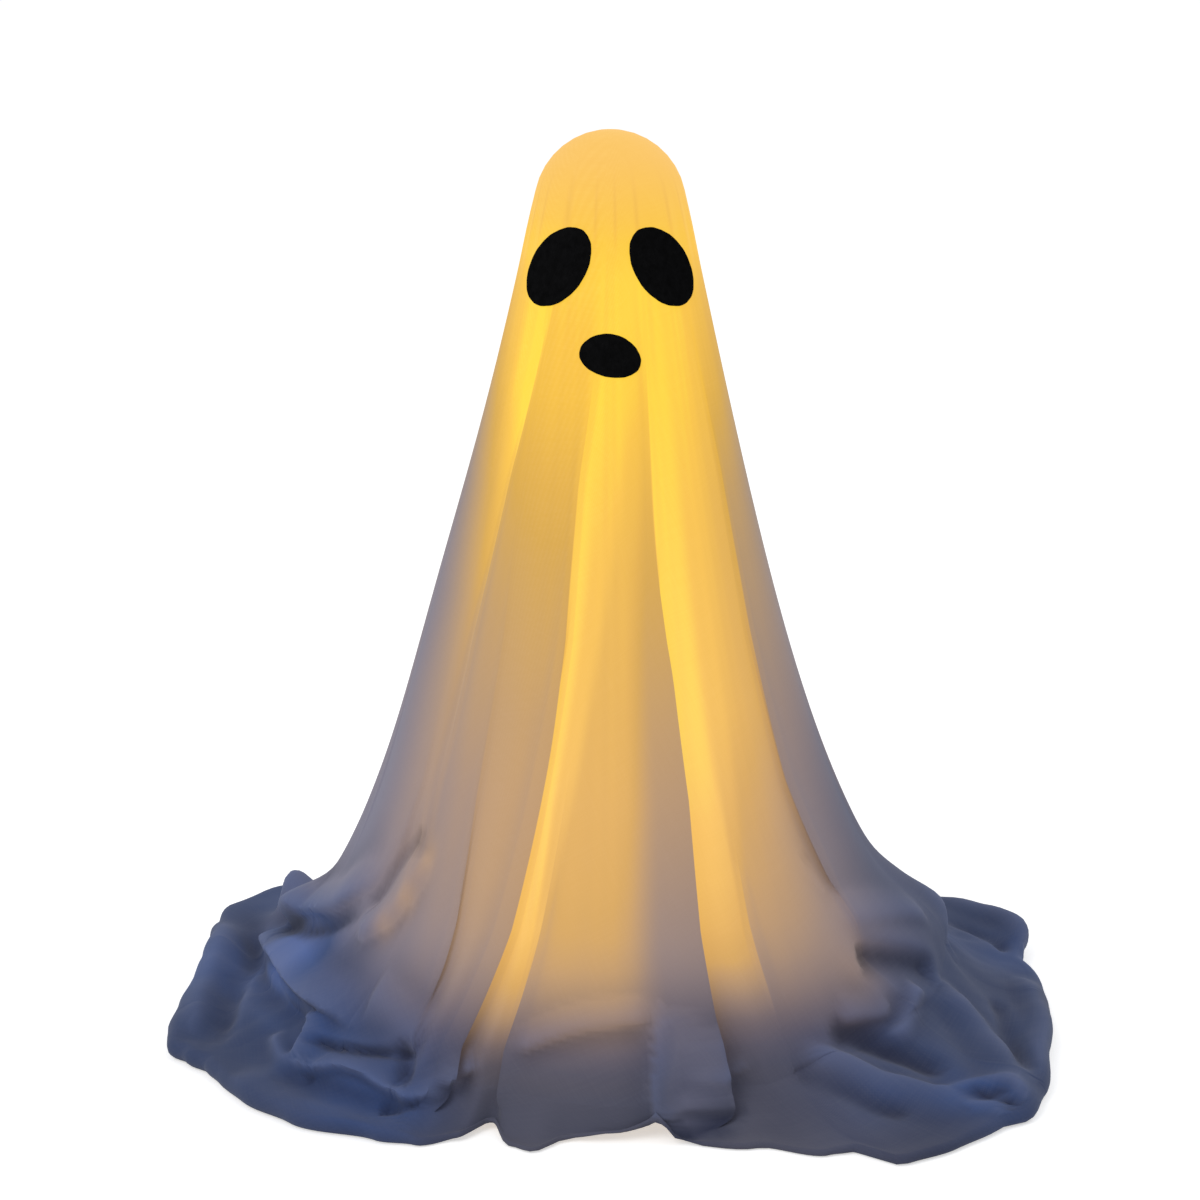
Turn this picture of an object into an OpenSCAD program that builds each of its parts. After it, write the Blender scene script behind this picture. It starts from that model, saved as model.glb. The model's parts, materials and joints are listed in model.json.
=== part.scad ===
// Lighted cloth ghost: a sheer sheet draped over a lamp dome on a pole, with a battery base on the floor.
// Millimetres. The origin is under the pole on the floor, +Z is up and the face looks along -Y.

/* [Cloth cover] */
// Height of the cloth's crown above the floor
cover_h = 610; // [580:5:660]
// Thickness of the cloth
cloth_t = 0.8; // [0.6:0.1:1.2]
// Room between the crown of the cloth and the lamp dome
crown_gap = 1.1; // [1:0.1:2]
// Widening of the skirt for each millimetre that it drops
skirt_lean = 0.215; // [0.19:0.005:0.24]
// Extra spread of the skirt at the floor, to the left and right
flare_side = 105; // [85:5:120]
// Extra spread of the skirt at the floor, to the front and back
flare_front = 22; // [10:2:40]
// Height over which the extra spread dies away
flare_h = 100; // [80:5:120]
// Depth of the hanging folds where they reach the floor
fold_depth = 13; // [6:1:16]
// Share of the drop that hangs smooth before the folds start
fold_start = 0.2; // [0.2:0.05:0.4]
// Reach of the cloth on the floor, from the pole
hem_reach = 300; // [280:5:340]

/* [Felt face] */
// Thickness of the felt
felt_t = 1.2; // [0.8:0.1:2]
// Drop from the crown to the middle of the eyes
eye_drop = 80; // [75:1:90]
// Turn of each eye from the middle of the face, in degrees
eye_turn = 36; // [34:1:40]
// Length of an eye
eye_len = 58; // [44:1:60]
// Width of an eye
eye_w = 40; // [30:1:42]
// Tilt of the eyes, with their tops turned to each other, in degrees
eye_tilt = 40; // [0:1:50]
// Drop from the crown to the middle of the mouth
mouth_drop = 133; // [130:1:145]
// Width of the mouth
mouth_w = 39; // [28:1:44]
// Height of the mouth
mouth_h = 26; // [18:1:30]
// Slant of the mouth, in degrees
mouth_tilt = 13; // [0:1:25]

/* [Lamp] */
// Outer radius of the frosted dome
dome_r = 47; // [44:1:50]
// Wall of the frosted dome
dome_wall = 1.6; // [1.2:0.1:2.4]
// Straight length of the dome below its round top
dome_len = 106; // [90:1:120]
// Thickness of the lamp cup's floor
cup_t = 2.5; // [2:0.1:3.5]
// Wall of the spigot that the dome slides over
spigot_t = 2.2; // [2:0.1:3]
// Height of the spigot
spigot_h = 12; // [10:1:16]
// Length of the hub on the pole
hub_len = 26; // [20:1:34]
// Wall of the hub
hub_t = 5; // [4:0.5:7]
// Ribs under the cup
cup_ribs = 6; // [4:1:8]
// Radius of the light board
led_board_r = 36; // [34:1:38]
// Height of the posts under the light board
led_post_h = 5; // [4:0.5:8]
// Lights in the outer ring
led_outer = 10; // [8:1:12]
// Lights in the inner ring
led_inner = 5; // [3:1:6]

/* [Pole] */
// Diameter of the pole
pole_d = 16; // [14:0.5:18]
// Wall of the pole
pole_wall = 1.2; // [0.8:0.1:1.5]
// Height of the collar that stands on the base
collar_h = 6; // [4:0.5:10]
// Width of the nut across its flats
nut_af = 24; // [23:0.5:26]
// Height of the nut
nut_h = 8; // [6:0.5:10]
// Thickness of the washer
washer_t = 1.5; // [1:0.25:2]

/* [Base] */
// Diameter of the base
base_d = 170; // [164:1:200]
// Height of the base's flat top above the floor
base_h = 32; // [31:1:40]
// Wall of the base shell
base_wall = 2.5; // [2:0.25:3]
// Rounding of the base's upper edge
base_edge_r = 10; // [6:1:12]
// Height of the pole socket above the flat top
socket_h = 14; // [10:1:20]
// Width of the socket's foot
socket_foot_d = 60; // [52:1:64]
// Thickness of the bottom plate
plate_t = 4; // [3.6:0.1:5]
// Thickness of the foam pad
pad_t = 2; // [1.5:0.5:4]
// Diameter of the foam pad
pad_d = 120; // [100:1:124]
// Distance of the base screws from the pole
base_screw_r = 70; // [68:0.5:72]

/* [Batteries] */
// Diameter of a cell
cell_d = 14.2; // [13.5:0.1:14.5]
// Length of a cell
cell_len = 50.5; // [49:0.1:51]
// Distance between the middles of two cells
cell_pitch = 14.9; // [14.6:0.1:15.2]
// Room for a spring at the end of a cell
spring_room = 6; // [5:0.25:6.5]
// Wall of the battery bay
bay_wall = 1.6; // [1.2:0.1:2]
// Distance from the pole to the battery bay
bay_y = 20; // [19:0.5:21]

/* [Switch] */
// Travel of the switch knob
switch_travel = 4; // [3:0.5:5]
// Distance of the switch from the pole
switch_y = 55; // [50:1:58]
// Length of the knob
knob_len = 12; // [10:0.5:14]
// Width of the knob
knob_w = 7; // [6:0.5:9]
// Height of the knob above the base
knob_h = 3.5; // [3:0.25:5]

/* [Wires and screws] */
// Diameter of a wire
wire_d = 1.6; // [1.2:0.1:1.8]
// Radius of a base or lamp screw's shank
screw_r = 1.5; // [1.3:0.1:1.6]
// Radius of a base or lamp screw's head
screw_head_r = 2.8; // [2.6:0.1:3]
// Height of a base or lamp screw's head
screw_head_h = 1.8; // [1.6:0.1:2]

/* [Hidden] */
$fn = 64;

// Clearances
fit_gap = 0.1;      // between pieces that are pushed together
slide_gap = 0.3;    // between pieces that slide
soft_gap = 0.3;     // between the felt and the cloth
over = 1;           // overshoot of a cut past a face

// Crown of the cloth: a ball of cloth that runs into the skirt where both have the same slope
crown_r = dome_r + crown_gap + cloth_t;
crown_z = cover_h - crown_r;
crown_turn = atan(1 / skirt_lean);
skirt_r0 = crown_r * sin(crown_turn);
skirt_z0 = crown_z + crown_r * cos(crown_turn);

// One row for each fold, round from the back: angle of its valley from the front, hem at the valley and at the
// ridge after it as shares of the reach, height where the skirt turns out on the floor, height of its roll
folds = [
    [-180, 0.95, 1.03, 30, 12], [-148, 1, 1.1, 36, 20], [-116, 1, 1.02, 50, 26], [-84, 0.99, 0.95, 55, 22],
    [-52, 0.86, 0.84, 40, 14], [-22, 0.64, 0.68, 30, 8], [25, 0.83, 1.01, 32, 10], [57, 1.02, 1.02, 40, 14],
    [86, 1, 1.04, 54, 18], [116, 1.05, 1, 48, 20], [146, 0.93, 1, 34, 14]];
fold_count = len(folds);
fold_columns = 4;               // columns of points across one fold
columns = fold_count * fold_columns;
crown_rings = 4;
skirt_rings = 5;
pool_rings = 4;
rings = crown_rings + skirt_rings + pool_rings;
fold_growth = 1.2;              // the folds deepen faster towards the floor
fold_inset = 0.6;               // share of a fold's depth that lies inside the skirt's mean surface
drift_turn = 18;                // the folds left of the face swing outwards by this much as they fall
drift_at = -40;
drift_width = 60;
fall_curve = 1.3;               // how quickly the cloth flattens on the floor
roll_curve = 1.5;               // how far out on the floor the rolls stand

// Dome, cup and pole
dome_z = cover_h - cloth_t - crown_gap - dome_r;
flange_z = dome_z - dome_len;
pole_top = flange_z - cup_t;
pole_r = pole_d / 2;
bore_r = pole_r - pole_wall;
hub_r = pole_r + fit_gap + hub_t;
spigot_r = dome_r - dome_wall - fit_gap;
led_board_t = 1.6;
led_board_z = flange_z + led_post_h;
led_post_r = 3.5;
led_post_at = 30;               // distance of the posts from the axis
led_size = 5;
led_h = 1.4;
dome_screw_z = flange_z + spigot_h / 2;
cup_screw_r = 2;
cup_screw_z = pole_top - hub_len / 2;
rib_t = 2;
wire_hole_r = bore_r - 1;
grommet_lip_h = 1.5;

// Base
base_r = base_d / 2;
plate_z = pad_t;
plate_top = plate_z + plate_t;
shell_top = base_h - base_wall;     // underside of the flat top
wire_room = wire_d + 1;             // height left under the nut for the wires
nut_z = plate_top + wire_room;
washer_z = nut_z + nut_h;
boss_z = washer_z + washer_t;
boss_r = nut_af / 2 + 3;
washer_r = boss_r;
socket_r = pole_r + 7;
socket_top = base_h + socket_h;
lip_h = 3;
lip_t = 1.5;
base_screw_count = 4;
base_screw_turn = 45;
post_r = 4;
base_screw_len = 10;

// Battery bay and door
cell_count = 3;
cell_r = cell_d / 2;
nub_r = 2.75;
nub_h = 1;
contact_t = 0.5;
bay_len = cell_len + spring_room + 2 * contact_t + slide_gap;
bay_w = cell_count * cell_pitch;
door_gap = 0.6;                     // between the door and the shell above it
door_t = plate_t - door_gap;
door_w = bay_len - 2 * slide_gap;
door_y = bay_y - 1;
tongue_w = 1.5;
tongue_h = 1.2;
tongue_z = plate_z + plate_t / 2;
tongue_end = sqrt(base_r * base_r - pow(door_w / 2 + tongue_w, 2)) - 2;
cell_z = plate_z + door_t + slide_gap + cell_r;
bay_top = cell_z + cell_r + 2 * slide_gap;
contact_w = 10;
tab_w = 3;
tab_z = bay_top + bay_wall + 3;
spring_wire = 0.7;
spring_turns = 3;
spring_wide = 4;
spring_narrow = 2.4;

// Switch
knob_stem_l = 3;
knob_stem_w = 2.8;
switch_can = [13, 7, 6.5];
switch_can_top = shell_top - slide_gap;
switch_can_z = switch_can_top - switch_can[2];
switch_board_size = [25, 12, 1.6];
switch_board_z = switch_can_z - switch_board_size[2];
switch_post_x = 9.6;
switch_post_r = 2.6;
switch_screw_r = 1;
switch_screw_head_r = 2.2;
switch_screw_head_h = 1.4;
stem_depth = 1.6;                   // depth of the knob's stem in the switch

function pow2(x) = x * x;
function mix(a, b, share) = a + (b - a) * share;
function unit(v) = v / norm(v);
// Point at an angle from the front, a distance from the pole and a height
function round_point(turn, r, z) = [r * sin(turn), -r * cos(turn), z];

// The skirt's mean radius, and its slope
function flare(turn) = mix(flare_front, flare_side, pow2(sin(turn)));
function skirt_r(turn, z) = skirt_r0 + skirt_lean * (skirt_z0 - z)
    + flare(turn) * (exp(-z / flare_h) - exp(-skirt_z0 / flare_h));
function skirt_slope(turn, z) = skirt_lean + flare(turn) / flare_h * exp(-z / flare_h);

// A column of the cloth lies part of the way across one fold
function fold_of(column) = floor(column / fold_columns);
function across(column) = column / fold_columns - fold_of(column);
function row(fold) = folds[fold % fold_count];
function valley(fold) = row(fold)[0] + 360 * floor(fold / fold_count);
function floor_turn(column) = mix(valley(fold_of(column)), valley(fold_of(column) + 1), across(column));
function wave(column) = (1 - cos(360 * across(column))) / 2;
function turn_at(column, share) = floor_turn(column)
    + drift_turn * (1 - share) * exp(-pow2((floor_turn(column) - drift_at) / drift_width));
function blend_rows(column, item) =
    mix(row(fold_of(column))[item], row(fold_of(column) + 1)[item], across(column));
function hem_r(column) = hem_reach * (across(column) < 0.5
    ? mix(row(fold_of(column))[1], row(fold_of(column))[2], wave(column))
    : mix(row(fold_of(column) + 1)[1], row(fold_of(column))[2], wave(column)));
function fold_at(column, share) =
    fold_depth * (wave(column) - fold_inset)
    * pow(max(0, share - fold_start) / (1 - fold_start), fold_growth);

// The cloth's outer surface in three stretches, each as [angle, radius, height, slope of its normal]
function crown_point(column, share) = [
    turn_at(column, 0),
    crown_r * sin(crown_turn * share),
    crown_z + crown_r * cos(crown_turn * share),
    90 - crown_turn * share];
function skirt_point(column, share) =
    let (z = mix(skirt_z0, blend_rows(column, 3), share), turn = turn_at(column, share))
    [turn, skirt_r(turn, z) + fold_at(column, share), z, atan(skirt_slope(turn, z))];
function pool_point(column, share) =
    let (foot = skirt_point(column, 1))
    [foot[0],
     mix(foot[1], hem_r(column), share),
     cloth_t + (foot[2] - cloth_t) * pow(1 - share, fall_curve)
         + blend_rows(column, 4) * sin(180 * pow(share, roll_curve)),
     mix(foot[3], 90, min(1, 2 * share))];
function cloth_point(column, ring) =
    ring <= crown_rings ? crown_point(column, ring / crown_rings)
    : ring <= crown_rings + skirt_rings ? skirt_point(column, (ring - crown_rings) / skirt_rings)
    : pool_point(column, (ring - crown_rings - skirt_rings) / pool_rings);
// A point of the cloth, a depth below its outer surface
function cloth_at(column, ring, depth) =
    let (p = cloth_point(column, ring))
    round_point(p[0], p[1] - depth * cos(p[3]), p[2] - depth * sin(p[3]));

// Tubes: rings of points round a route, each turned as little as possible from the one before
function route_dir(route, i) = unit(route[min(i + 1, len(route) - 1)] - route[max(i - 1, 0)]);
function across_dir(dir, v) = unit(v - (v * dir) * dir);
function route_sides(route, first) = [
    for (i = 0, side = across_dir(route_dir(route, 0), first);
         i < len(route);
         i = i + 1, side = across_dir(route_dir(route, min(i, len(route) - 1)), side)) side];
function tube_points(route, r, sides, first) =
    let (side = route_sides(route, first))
    [for (i = [0:len(route) - 1])
        let (dir = route_dir(route, i), up = cross(dir, side[i]))
        for (k = [0:sides - 1]) route[i] + r * (cos(360 * k / sides) * side[i] + sin(360 * k / sides) * up)];
function tube_faces(count, sides) = concat(
    [for (k = [1:sides - 2]) [0, k, k + 1]],
    [for (i = [0:count - 2], k = [0:sides - 1])
        let (a = i * sides + k, b = i * sides + (k + 1) % sides)
        each [[a, a + sides, b], [b, a + sides, b + sides]]],
    [for (k = [1:sides - 2]) let (a = (count - 1) * sides) [a, a + k + 1, a + k]]);

module tube(route, d, sides, first = [0.2, 0.3, 1]) {
    polyhedron(tube_points(route, d / 2, sides, first), tube_faces(len(route), sides));
}

// A smooth route through points chosen by hand
function smooth_step(p, i, t) =
    let (a = p[max(i - 1, 0)], b = p[i], c = p[i + 1], d = p[min(i + 2, len(p) - 1)])
    0.5 * (2 * b + (c - a) * t + (2 * a - 5 * b + 4 * c - d) * t * t + (3 * b - a - 3 * c + d) * t * t * t);
function smooth_route(p, steps) = concat(
    [for (i = [0:len(p) - 2], k = [0:steps - 1]) smooth_step(p, i, k / steps)], [p[len(p) - 1]]);

module ring(r, hole_r, z, h) {
    translate([0, 0, z]) difference() {
        cylinder(r = r, h = h);
        translate([0, 0, -over]) cylinder(r = hole_r, h = h + 2 * over);
    }
}

module around(count, r, turn = 0) {
    for (k = [0:count - 1]) rotate(turn + 360 * k / count) translate([r, 0, 0]) children();
}

// Pan-head screw with its head below, pointing up
module screw(shank_r, head_r, head_h, length) {
    cylinder(r1 = head_r * 0.8, r2 = head_r, h = head_h);
    cylinder(r = shank_r, h = head_h + length);
}

module cloth_cover() {
    crest = [[0, 0, cover_h], [0, 0, cover_h - cloth_t]];
    outer = [for (j = [1:rings], i = [0:columns - 1]) cloth_at(i, j, 0)];
    inner = [for (j = [1:rings], i = [0:columns - 1]) cloth_at(i, j, cloth_t)];
    first_out = 2;
    first_in = first_out + rings * columns;
    function out(i, j) = first_out + (j - 1) * columns + i % columns;
    function in(i, j) = first_in + (j - 1) * columns + i % columns;
    faces = concat(
        [for (i = [0:columns - 1]) each [[0, out(i, 1), out(i + 1, 1)], [1, in(i + 1, 1), in(i, 1)]]],
        [for (j = [1:rings - 1], i = [0:columns - 1]) each [
            [out(i, j), out(i, j + 1), out(i + 1, j)], [out(i + 1, j), out(i, j + 1), out(i + 1, j + 1)],
            [in(i, j), in(i + 1, j), in(i, j + 1)], [in(i + 1, j), in(i + 1, j + 1), in(i, j + 1)]]],
        [for (i = [0:columns - 1]) each [
            [out(i, rings), in(i, rings), out(i + 1, rings)],
            [out(i + 1, rings), in(i, rings), in(i + 1, rings)]]]);
    color([0.93, 0.80, 0.52]) polyhedron(concat(crest, outer, inner), faces);
}

// Oval of felt on the smooth upper skirt: across and up are its two sizes before it is tilted
felt_sides = 28;
felt_rings = 3;
felt_egg = 0.1;                     // how much narrower the oval is at its top
function felt_outline(k, size, tilt) =
    let (angle = 360 * k / felt_sides,
         x = size[0] / 2 * cos(angle) * (1 - felt_egg * sin(angle)), y = size[1] / 2 * sin(angle))
    [x * cos(tilt) - y * sin(tilt), x * sin(tilt) + y * cos(tilt)];
function felt_at(turn, drop, p, lift) =
    let (middle = cover_h - drop, z = middle + p[1] * sin(crown_turn),
         at = turn + p[0] / skirt_r(turn, middle) * 180 / PI)
    round_point(at, skirt_r(at, z) + lift * sin(crown_turn), z + lift * cos(crown_turn));

module felt_patch(turn, drop, size, tilt) {
    per_side = 1 + felt_rings * felt_sides;
    function layer(lift) = concat([felt_at(turn, drop, [0, 0], lift)],
        [for (j = [1:felt_rings], k = [0:felt_sides - 1])
            felt_at(turn, drop, felt_outline(k, size, tilt) * j / felt_rings, lift)]);
    function at(side, j, k) = side * per_side + 1 + (j - 1) * felt_sides + k % felt_sides;
    faces = concat(
        [for (k = [0:felt_sides - 1]) each [
            [0, at(0, 1, k + 1), at(0, 1, k)], [per_side, at(1, 1, k), at(1, 1, k + 1)],
            [at(0, felt_rings, k), at(0, felt_rings, k + 1), at(1, felt_rings, k)],
            [at(0, felt_rings, k + 1), at(1, felt_rings, k + 1), at(1, felt_rings, k)]]],
        [for (j = [1:felt_rings - 1], k = [0:felt_sides - 1]) each [
            [at(0, j, k), at(0, j, k + 1), at(0, j + 1, k)],
            [at(0, j, k + 1), at(0, j + 1, k + 1), at(0, j + 1, k)],
            [at(1, j, k), at(1, j + 1, k), at(1, j, k + 1)],
            [at(1, j, k + 1), at(1, j + 1, k), at(1, j + 1, k + 1)]]]);
    color([0.02, 0.02, 0.02])
        polyhedron(concat(layer(soft_gap + felt_t), layer(soft_gap)), faces);
}

module left_eye() { felt_patch(-eye_turn, eye_drop, [eye_w, eye_len], -eye_tilt); }
module right_eye() { felt_patch(eye_turn, eye_drop, [eye_w, eye_len], eye_tilt); }
module mouth() { felt_patch(0, mouth_drop, [mouth_w, mouth_h], -mouth_tilt); }

// Half outline of the dome, taken in by a wall
dome_steps = 14;
function dome_outline(inset) = concat(
    [[0, flange_z - (inset > 0 ? over : 0)], [dome_r - inset, flange_z - (inset > 0 ? over : 0)]],
    [for (k = [0:dome_steps]) let (angle = 90 * k / dome_steps)
        [(dome_r - inset) * cos(angle), dome_z + (dome_r - inset) * sin(angle)]]);

module dome_diffuser() {
    color([1, 0.86, 0.55]) difference() {
        rotate_extrude() difference() {
            polygon(dome_outline(0));
            polygon(dome_outline(dome_wall));
        }
        around(3, 0, 90) translate([0, 0, dome_screw_z]) rotate([0, 90, 0])
            cylinder(r = screw_r + fit_gap, h = dome_r + over);
    }
}

module dome_screws() {
    reach = dome_wall + fit_gap + spigot_t;
    color("silver") around(3, dome_r + screw_head_h, 90) translate([0, 0, dome_screw_z]) rotate([0, -90, 0])
        screw(screw_r, screw_head_r, screw_head_h, reach);
}

module lamp_cup() {
    color([0.95, 0.95, 0.93]) difference() {
        union() {
            ring(hub_r, pole_r + fit_gap, pole_top - hub_len, hub_len + cup_t / 2);
            ring(dome_r, wire_hole_r, pole_top, cup_t);
            ring(spigot_r, spigot_r - spigot_t, pole_top + cup_t / 2, cup_t / 2 + spigot_h);
            around(3, led_post_at) ring(led_post_r, screw_r, pole_top + cup_t / 2, cup_t / 2 + led_post_h);
            around(cup_ribs, 0, 180 / cup_ribs) translate([0, rib_t / 2, 0]) rotate([90, 0, 0])
                linear_extrude(rib_t) polygon([
                    [hub_r - hub_t / 2, pole_top + cup_t / 2], [hub_r - hub_t / 2, pole_top - hub_len * 0.8],
                    [hub_r + rib_t, pole_top - hub_len * 0.8], [dome_r - 2 * rib_t, pole_top - rib_t],
                    [dome_r - 2 * rib_t, pole_top + cup_t / 2]]);
        }
        translate([0, 0, pole_top - hub_len - over]) cylinder(r = pole_r + fit_gap, h = hub_len + over);
        around(3, 0, 90) translate([spigot_r - 2 * spigot_t, 0, dome_screw_z]) rotate([0, 90, 0])
            cylinder(r = screw_r + fit_gap / 2, h = 3 * spigot_t);
        translate([0, 0, cup_screw_z]) rotate([90, 0, 0])
            cylinder(r = cup_screw_r + fit_gap / 2, h = hub_r + over);
    }
}

module cup_screw() {
    slot_w = 0.8;
    color("dimgray") translate([0, -hub_r, cup_screw_z]) rotate([-90, 0, 0]) difference() {
        cylinder(r = cup_screw_r, h = hub_t);
        translate([-cup_screw_r - over, -slot_w / 2, -over])
            cube([2 * (cup_screw_r + over), slot_w, over + slot_w]);
    }
}

// Rubber grommet in the cup's floor, which keeps the wires off the pole's edge
module wire_grommet() {
    lip_r = wire_hole_r + 2.5;
    color([0.08, 0.08, 0.08]) difference() {
        union() {
            translate([0, 0, pole_top + fit_gap]) cylinder(r = wire_hole_r - fit_gap, h = cup_t);
            translate([0, 0, flange_z]) cylinder(r = lip_r, h = grommet_lip_h);
        }
        for (side = [-1, 1]) translate([side * wire_x, 0, pole_top - over])
            cylinder(r = wire_d / 2 + fit_gap, h = cup_t + grommet_lip_h + 2 * over);
    }
}

module led_board() {
    color([0.97, 0.97, 0.97]) translate([0, 0, led_board_z]) difference() {
        cylinder(r = led_board_r, h = led_board_t);
        around(3, led_post_at) translate([0, 0, -over])
            cylinder(r = screw_r + fit_gap, h = led_board_t + 2 * over);
    }
}

// One light: a square case with a round lens on it
module led_chip() {
    lens_h = 0.4;
    translate([0, 0, led_h / 2]) cube([led_size, led_size, led_h], center = true);
    translate([0, 0, led_h]) cylinder(r = led_size * 0.4, h = lens_h);
}

module led_chips() {
    outer_r = led_board_r - 2 * led_size;
    inner_r = outer_r / 2;
    color([1, 0.8, 0.35]) translate([0, 0, led_board_z + led_board_t]) {
        led_chip();
        around(led_outer, outer_r - led_size / 2, 180 / led_outer) led_chip();
        around(led_inner, inner_r - led_size / 4) led_chip();
    }
}

module board_screws() {
    color("silver") around(3, led_post_at)
        translate([0, 0, led_board_z + led_board_t + screw_head_h]) rotate([180, 0, 0])
            screw(screw_r - fit_gap / 2, screw_head_r, screw_head_h, led_board_t + led_post_h);
}

module pole() {
    color("white") ring(pole_r, bore_r, nut_z, pole_top - nut_z);
}

module pole_collar() {
    chamfer = 1.5;
    color("white") {
        rotate_extrude() polygon([
            [pole_r + fit_gap, socket_top], [socket_r, socket_top],
            [socket_r, socket_top + collar_h - chamfer], [socket_r - chamfer, socket_top + collar_h],
            [pole_r + fit_gap, socket_top + collar_h]]);
    }
}

module pole_washer() {
    color("silver") ring(washer_r, pole_r + fit_gap, washer_z, washer_t);
}

module pole_nut() {
    color("silver") translate([0, 0, nut_z]) difference() {
        cylinder(r = nut_af / 2 / cos(30), h = nut_h, $fn = 6);
        translate([0, 0, -over]) cylinder(r = pole_r + fit_gap, h = nut_h + 2 * over);
    }
}

// Half outline of the base shell with its rounded upper edge, taken in by a wall
edge_steps = 6;
function base_outline(inset) = concat(
    [[0, plate_top - (inset > 0 ? over : 0)], [base_r - inset, plate_top - (inset > 0 ? over : 0)]],
    [for (k = [0:edge_steps]) let (angle = 90 * k / edge_steps)
        [base_r - base_edge_r + (base_edge_r - inset) * cos(angle),
         base_h - base_edge_r + (base_edge_r - inset) * sin(angle)]],
    [[0, base_h - inset]]);
// Hollow-sided cone of the pole socket
socket_steps = 6;
function socket_outline() = concat(
    [[0, shell_top], [socket_foot_d / 2, shell_top]],
    [for (k = [0:socket_steps]) let (angle = 90 * k / socket_steps)
        [socket_foot_d / 2 - (socket_foot_d / 2 - socket_r) * sin(angle),
         base_h + socket_h * (1 - cos(angle))]],
    [[0, socket_top]]);

module base_shell() {
    slot_l = knob_stem_l + switch_travel + 2 * slide_gap;
    slot_w = knob_stem_w + 2 * slide_gap;
    color([0.96, 0.96, 0.95]) difference() {
        union() {
            rotate_extrude() difference() {
                polygon(base_outline(0));
                polygon(base_outline(base_wall));
            }
            rotate_extrude() polygon(socket_outline());
            translate([0, 0, boss_z]) cylinder(r = boss_r, h = base_h - boss_z);
            around(base_screw_count, base_screw_r, base_screw_turn)
                translate([0, 0, plate_top]) cylinder(r = post_r, h = base_h - base_wall / 2 - plate_top);
            for (side = [-1, 1]) translate([side * switch_post_x, -switch_y, switch_can_z])
                cylinder(r = switch_post_r, h = base_h - base_wall / 2 - switch_can_z);
        }
        translate([0, 0, boss_z - over]) cylinder(r = pole_r + fit_gap, h = socket_top - boss_z + 2 * over);
        around(base_screw_count, base_screw_r, base_screw_turn)
            translate([0, 0, plate_top - over])
                cylinder(r = screw_r + fit_gap / 2, h = base_screw_len + over);
        for (side = [-1, 1]) translate([side * switch_post_x, -switch_y, switch_can_z - over])
            cylinder(r = switch_screw_r + fit_gap / 2, h = switch_can[2]);
        translate([-slot_l / 2, -switch_y - slot_w / 2, shell_top - over])
            cube([slot_l, slot_w, base_wall + 2 * over]);
    }
}

module base_plate() {
    bay_out = [bay_len + 2 * bay_wall, bay_w + 2 * bay_wall];
    groove_w = door_w + 2 * (tongue_w + slide_gap);
    groove_h = tongue_h + 2 * slide_gap;
    lip_r = base_r - base_wall - fit_gap;
    color([0.9, 0.9, 0.89]) difference() {
        union() {
            translate([0, 0, plate_z]) cylinder(r = base_r, h = plate_t);
            ring(lip_r, lip_r - lip_t, plate_top - plate_t / 4, lip_h + plate_t / 4);
            translate([-bay_out[0] / 2, bay_y - bay_wall, plate_z + plate_t / 2])
                cube([bay_out[0], bay_out[1], bay_top + bay_wall - plate_z - plate_t / 2]);
        }
        // Inside of the bay
        translate([-bay_len / 2, bay_y, plate_z - over]) cube([bay_len, bay_w, bay_top - plate_z + over]);
        // Door opening, which runs out through the rim
        translate([-door_w / 2 - slide_gap, door_y - slide_gap, plate_z - over])
            cube([door_w + 2 * slide_gap, base_r, plate_t + over]);
        // Grooves for the door's tongues
        translate([-groove_w / 2, door_y - slide_gap, tongue_z - groove_h / 2])
            cube([groove_w, base_r, groove_h]);
        // Slots for the two solder tabs
        for (side = [-1, 1]) translate([side * (bay_len / 2 - contact_t / 2), tab_y(side), bay_top])
            cube([contact_t + 2 * fit_gap, tab_w + 2 * slide_gap, 3 * bay_wall], center = true);
        // Counterbored screw holes
        around(base_screw_count, base_screw_r, base_screw_turn) translate([0, 0, plate_z - over]) {
            cylinder(r = screw_r + fit_gap, h = plate_t + 2 * over);
            cylinder(r = screw_head_r + fit_gap, h = screw_head_h + over);
        }
    }
}

module base_screws() {
    color("silver") around(base_screw_count, base_screw_r, base_screw_turn) translate([0, 0, plate_z])
        screw(screw_r, screw_head_r, screw_head_h, base_screw_len - screw_head_h + plate_t - over);
}

module base_pad() {
    notch_w = door_w + 2 * (tongue_w + slide_gap) + 2 * over;
    color([0.12, 0.12, 0.12]) difference() {
        cylinder(r = pad_d / 2, h = pad_t);
        translate([-notch_w / 2, door_y - 2 * over, -over]) cube([notch_w, pad_d, pad_t + 2 * over]);
    }
}

module battery_door() {
    grips = 4;
    grip_w = 1.2;
    grip_l = door_w * 0.4;
    grip_deep = 0.8;
    color([0.9, 0.9, 0.89]) difference() {
        union() {
            intersection() {
                translate([-door_w / 2, door_y, plate_z]) cube([door_w, base_r, door_t]);
                translate([0, 0, plate_z - over]) cylinder(r = base_r, h = door_t + 2 * over);
            }
            translate([-door_w / 2 - tongue_w, door_y, tongue_z - tongue_h / 2])
                cube([door_w + 2 * tongue_w, tongue_end - door_y, tongue_h]);
        }
        for (k = [1:grips]) translate([-grip_l / 2, base_r - 2 * grip_w * (k + 1), plate_z - over])
            cube([grip_l, grip_w, over + grip_deep]);
    }
}

// Cells lie side by side and turn end for end, so that their contacts join them in a row
function cell_side(k) = k % 2 == 0 ? 1 : -1;
function cell_y(k) = bay_y + cell_pitch * (k + 0.5);
// Where the flat end lies of a cell that points along +X
function cell_start() = -bay_len / 2 + contact_t + spring_room;
function tab_y(side) = side > 0 ? cell_y(0) : cell_y(cell_count - 1);

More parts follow.
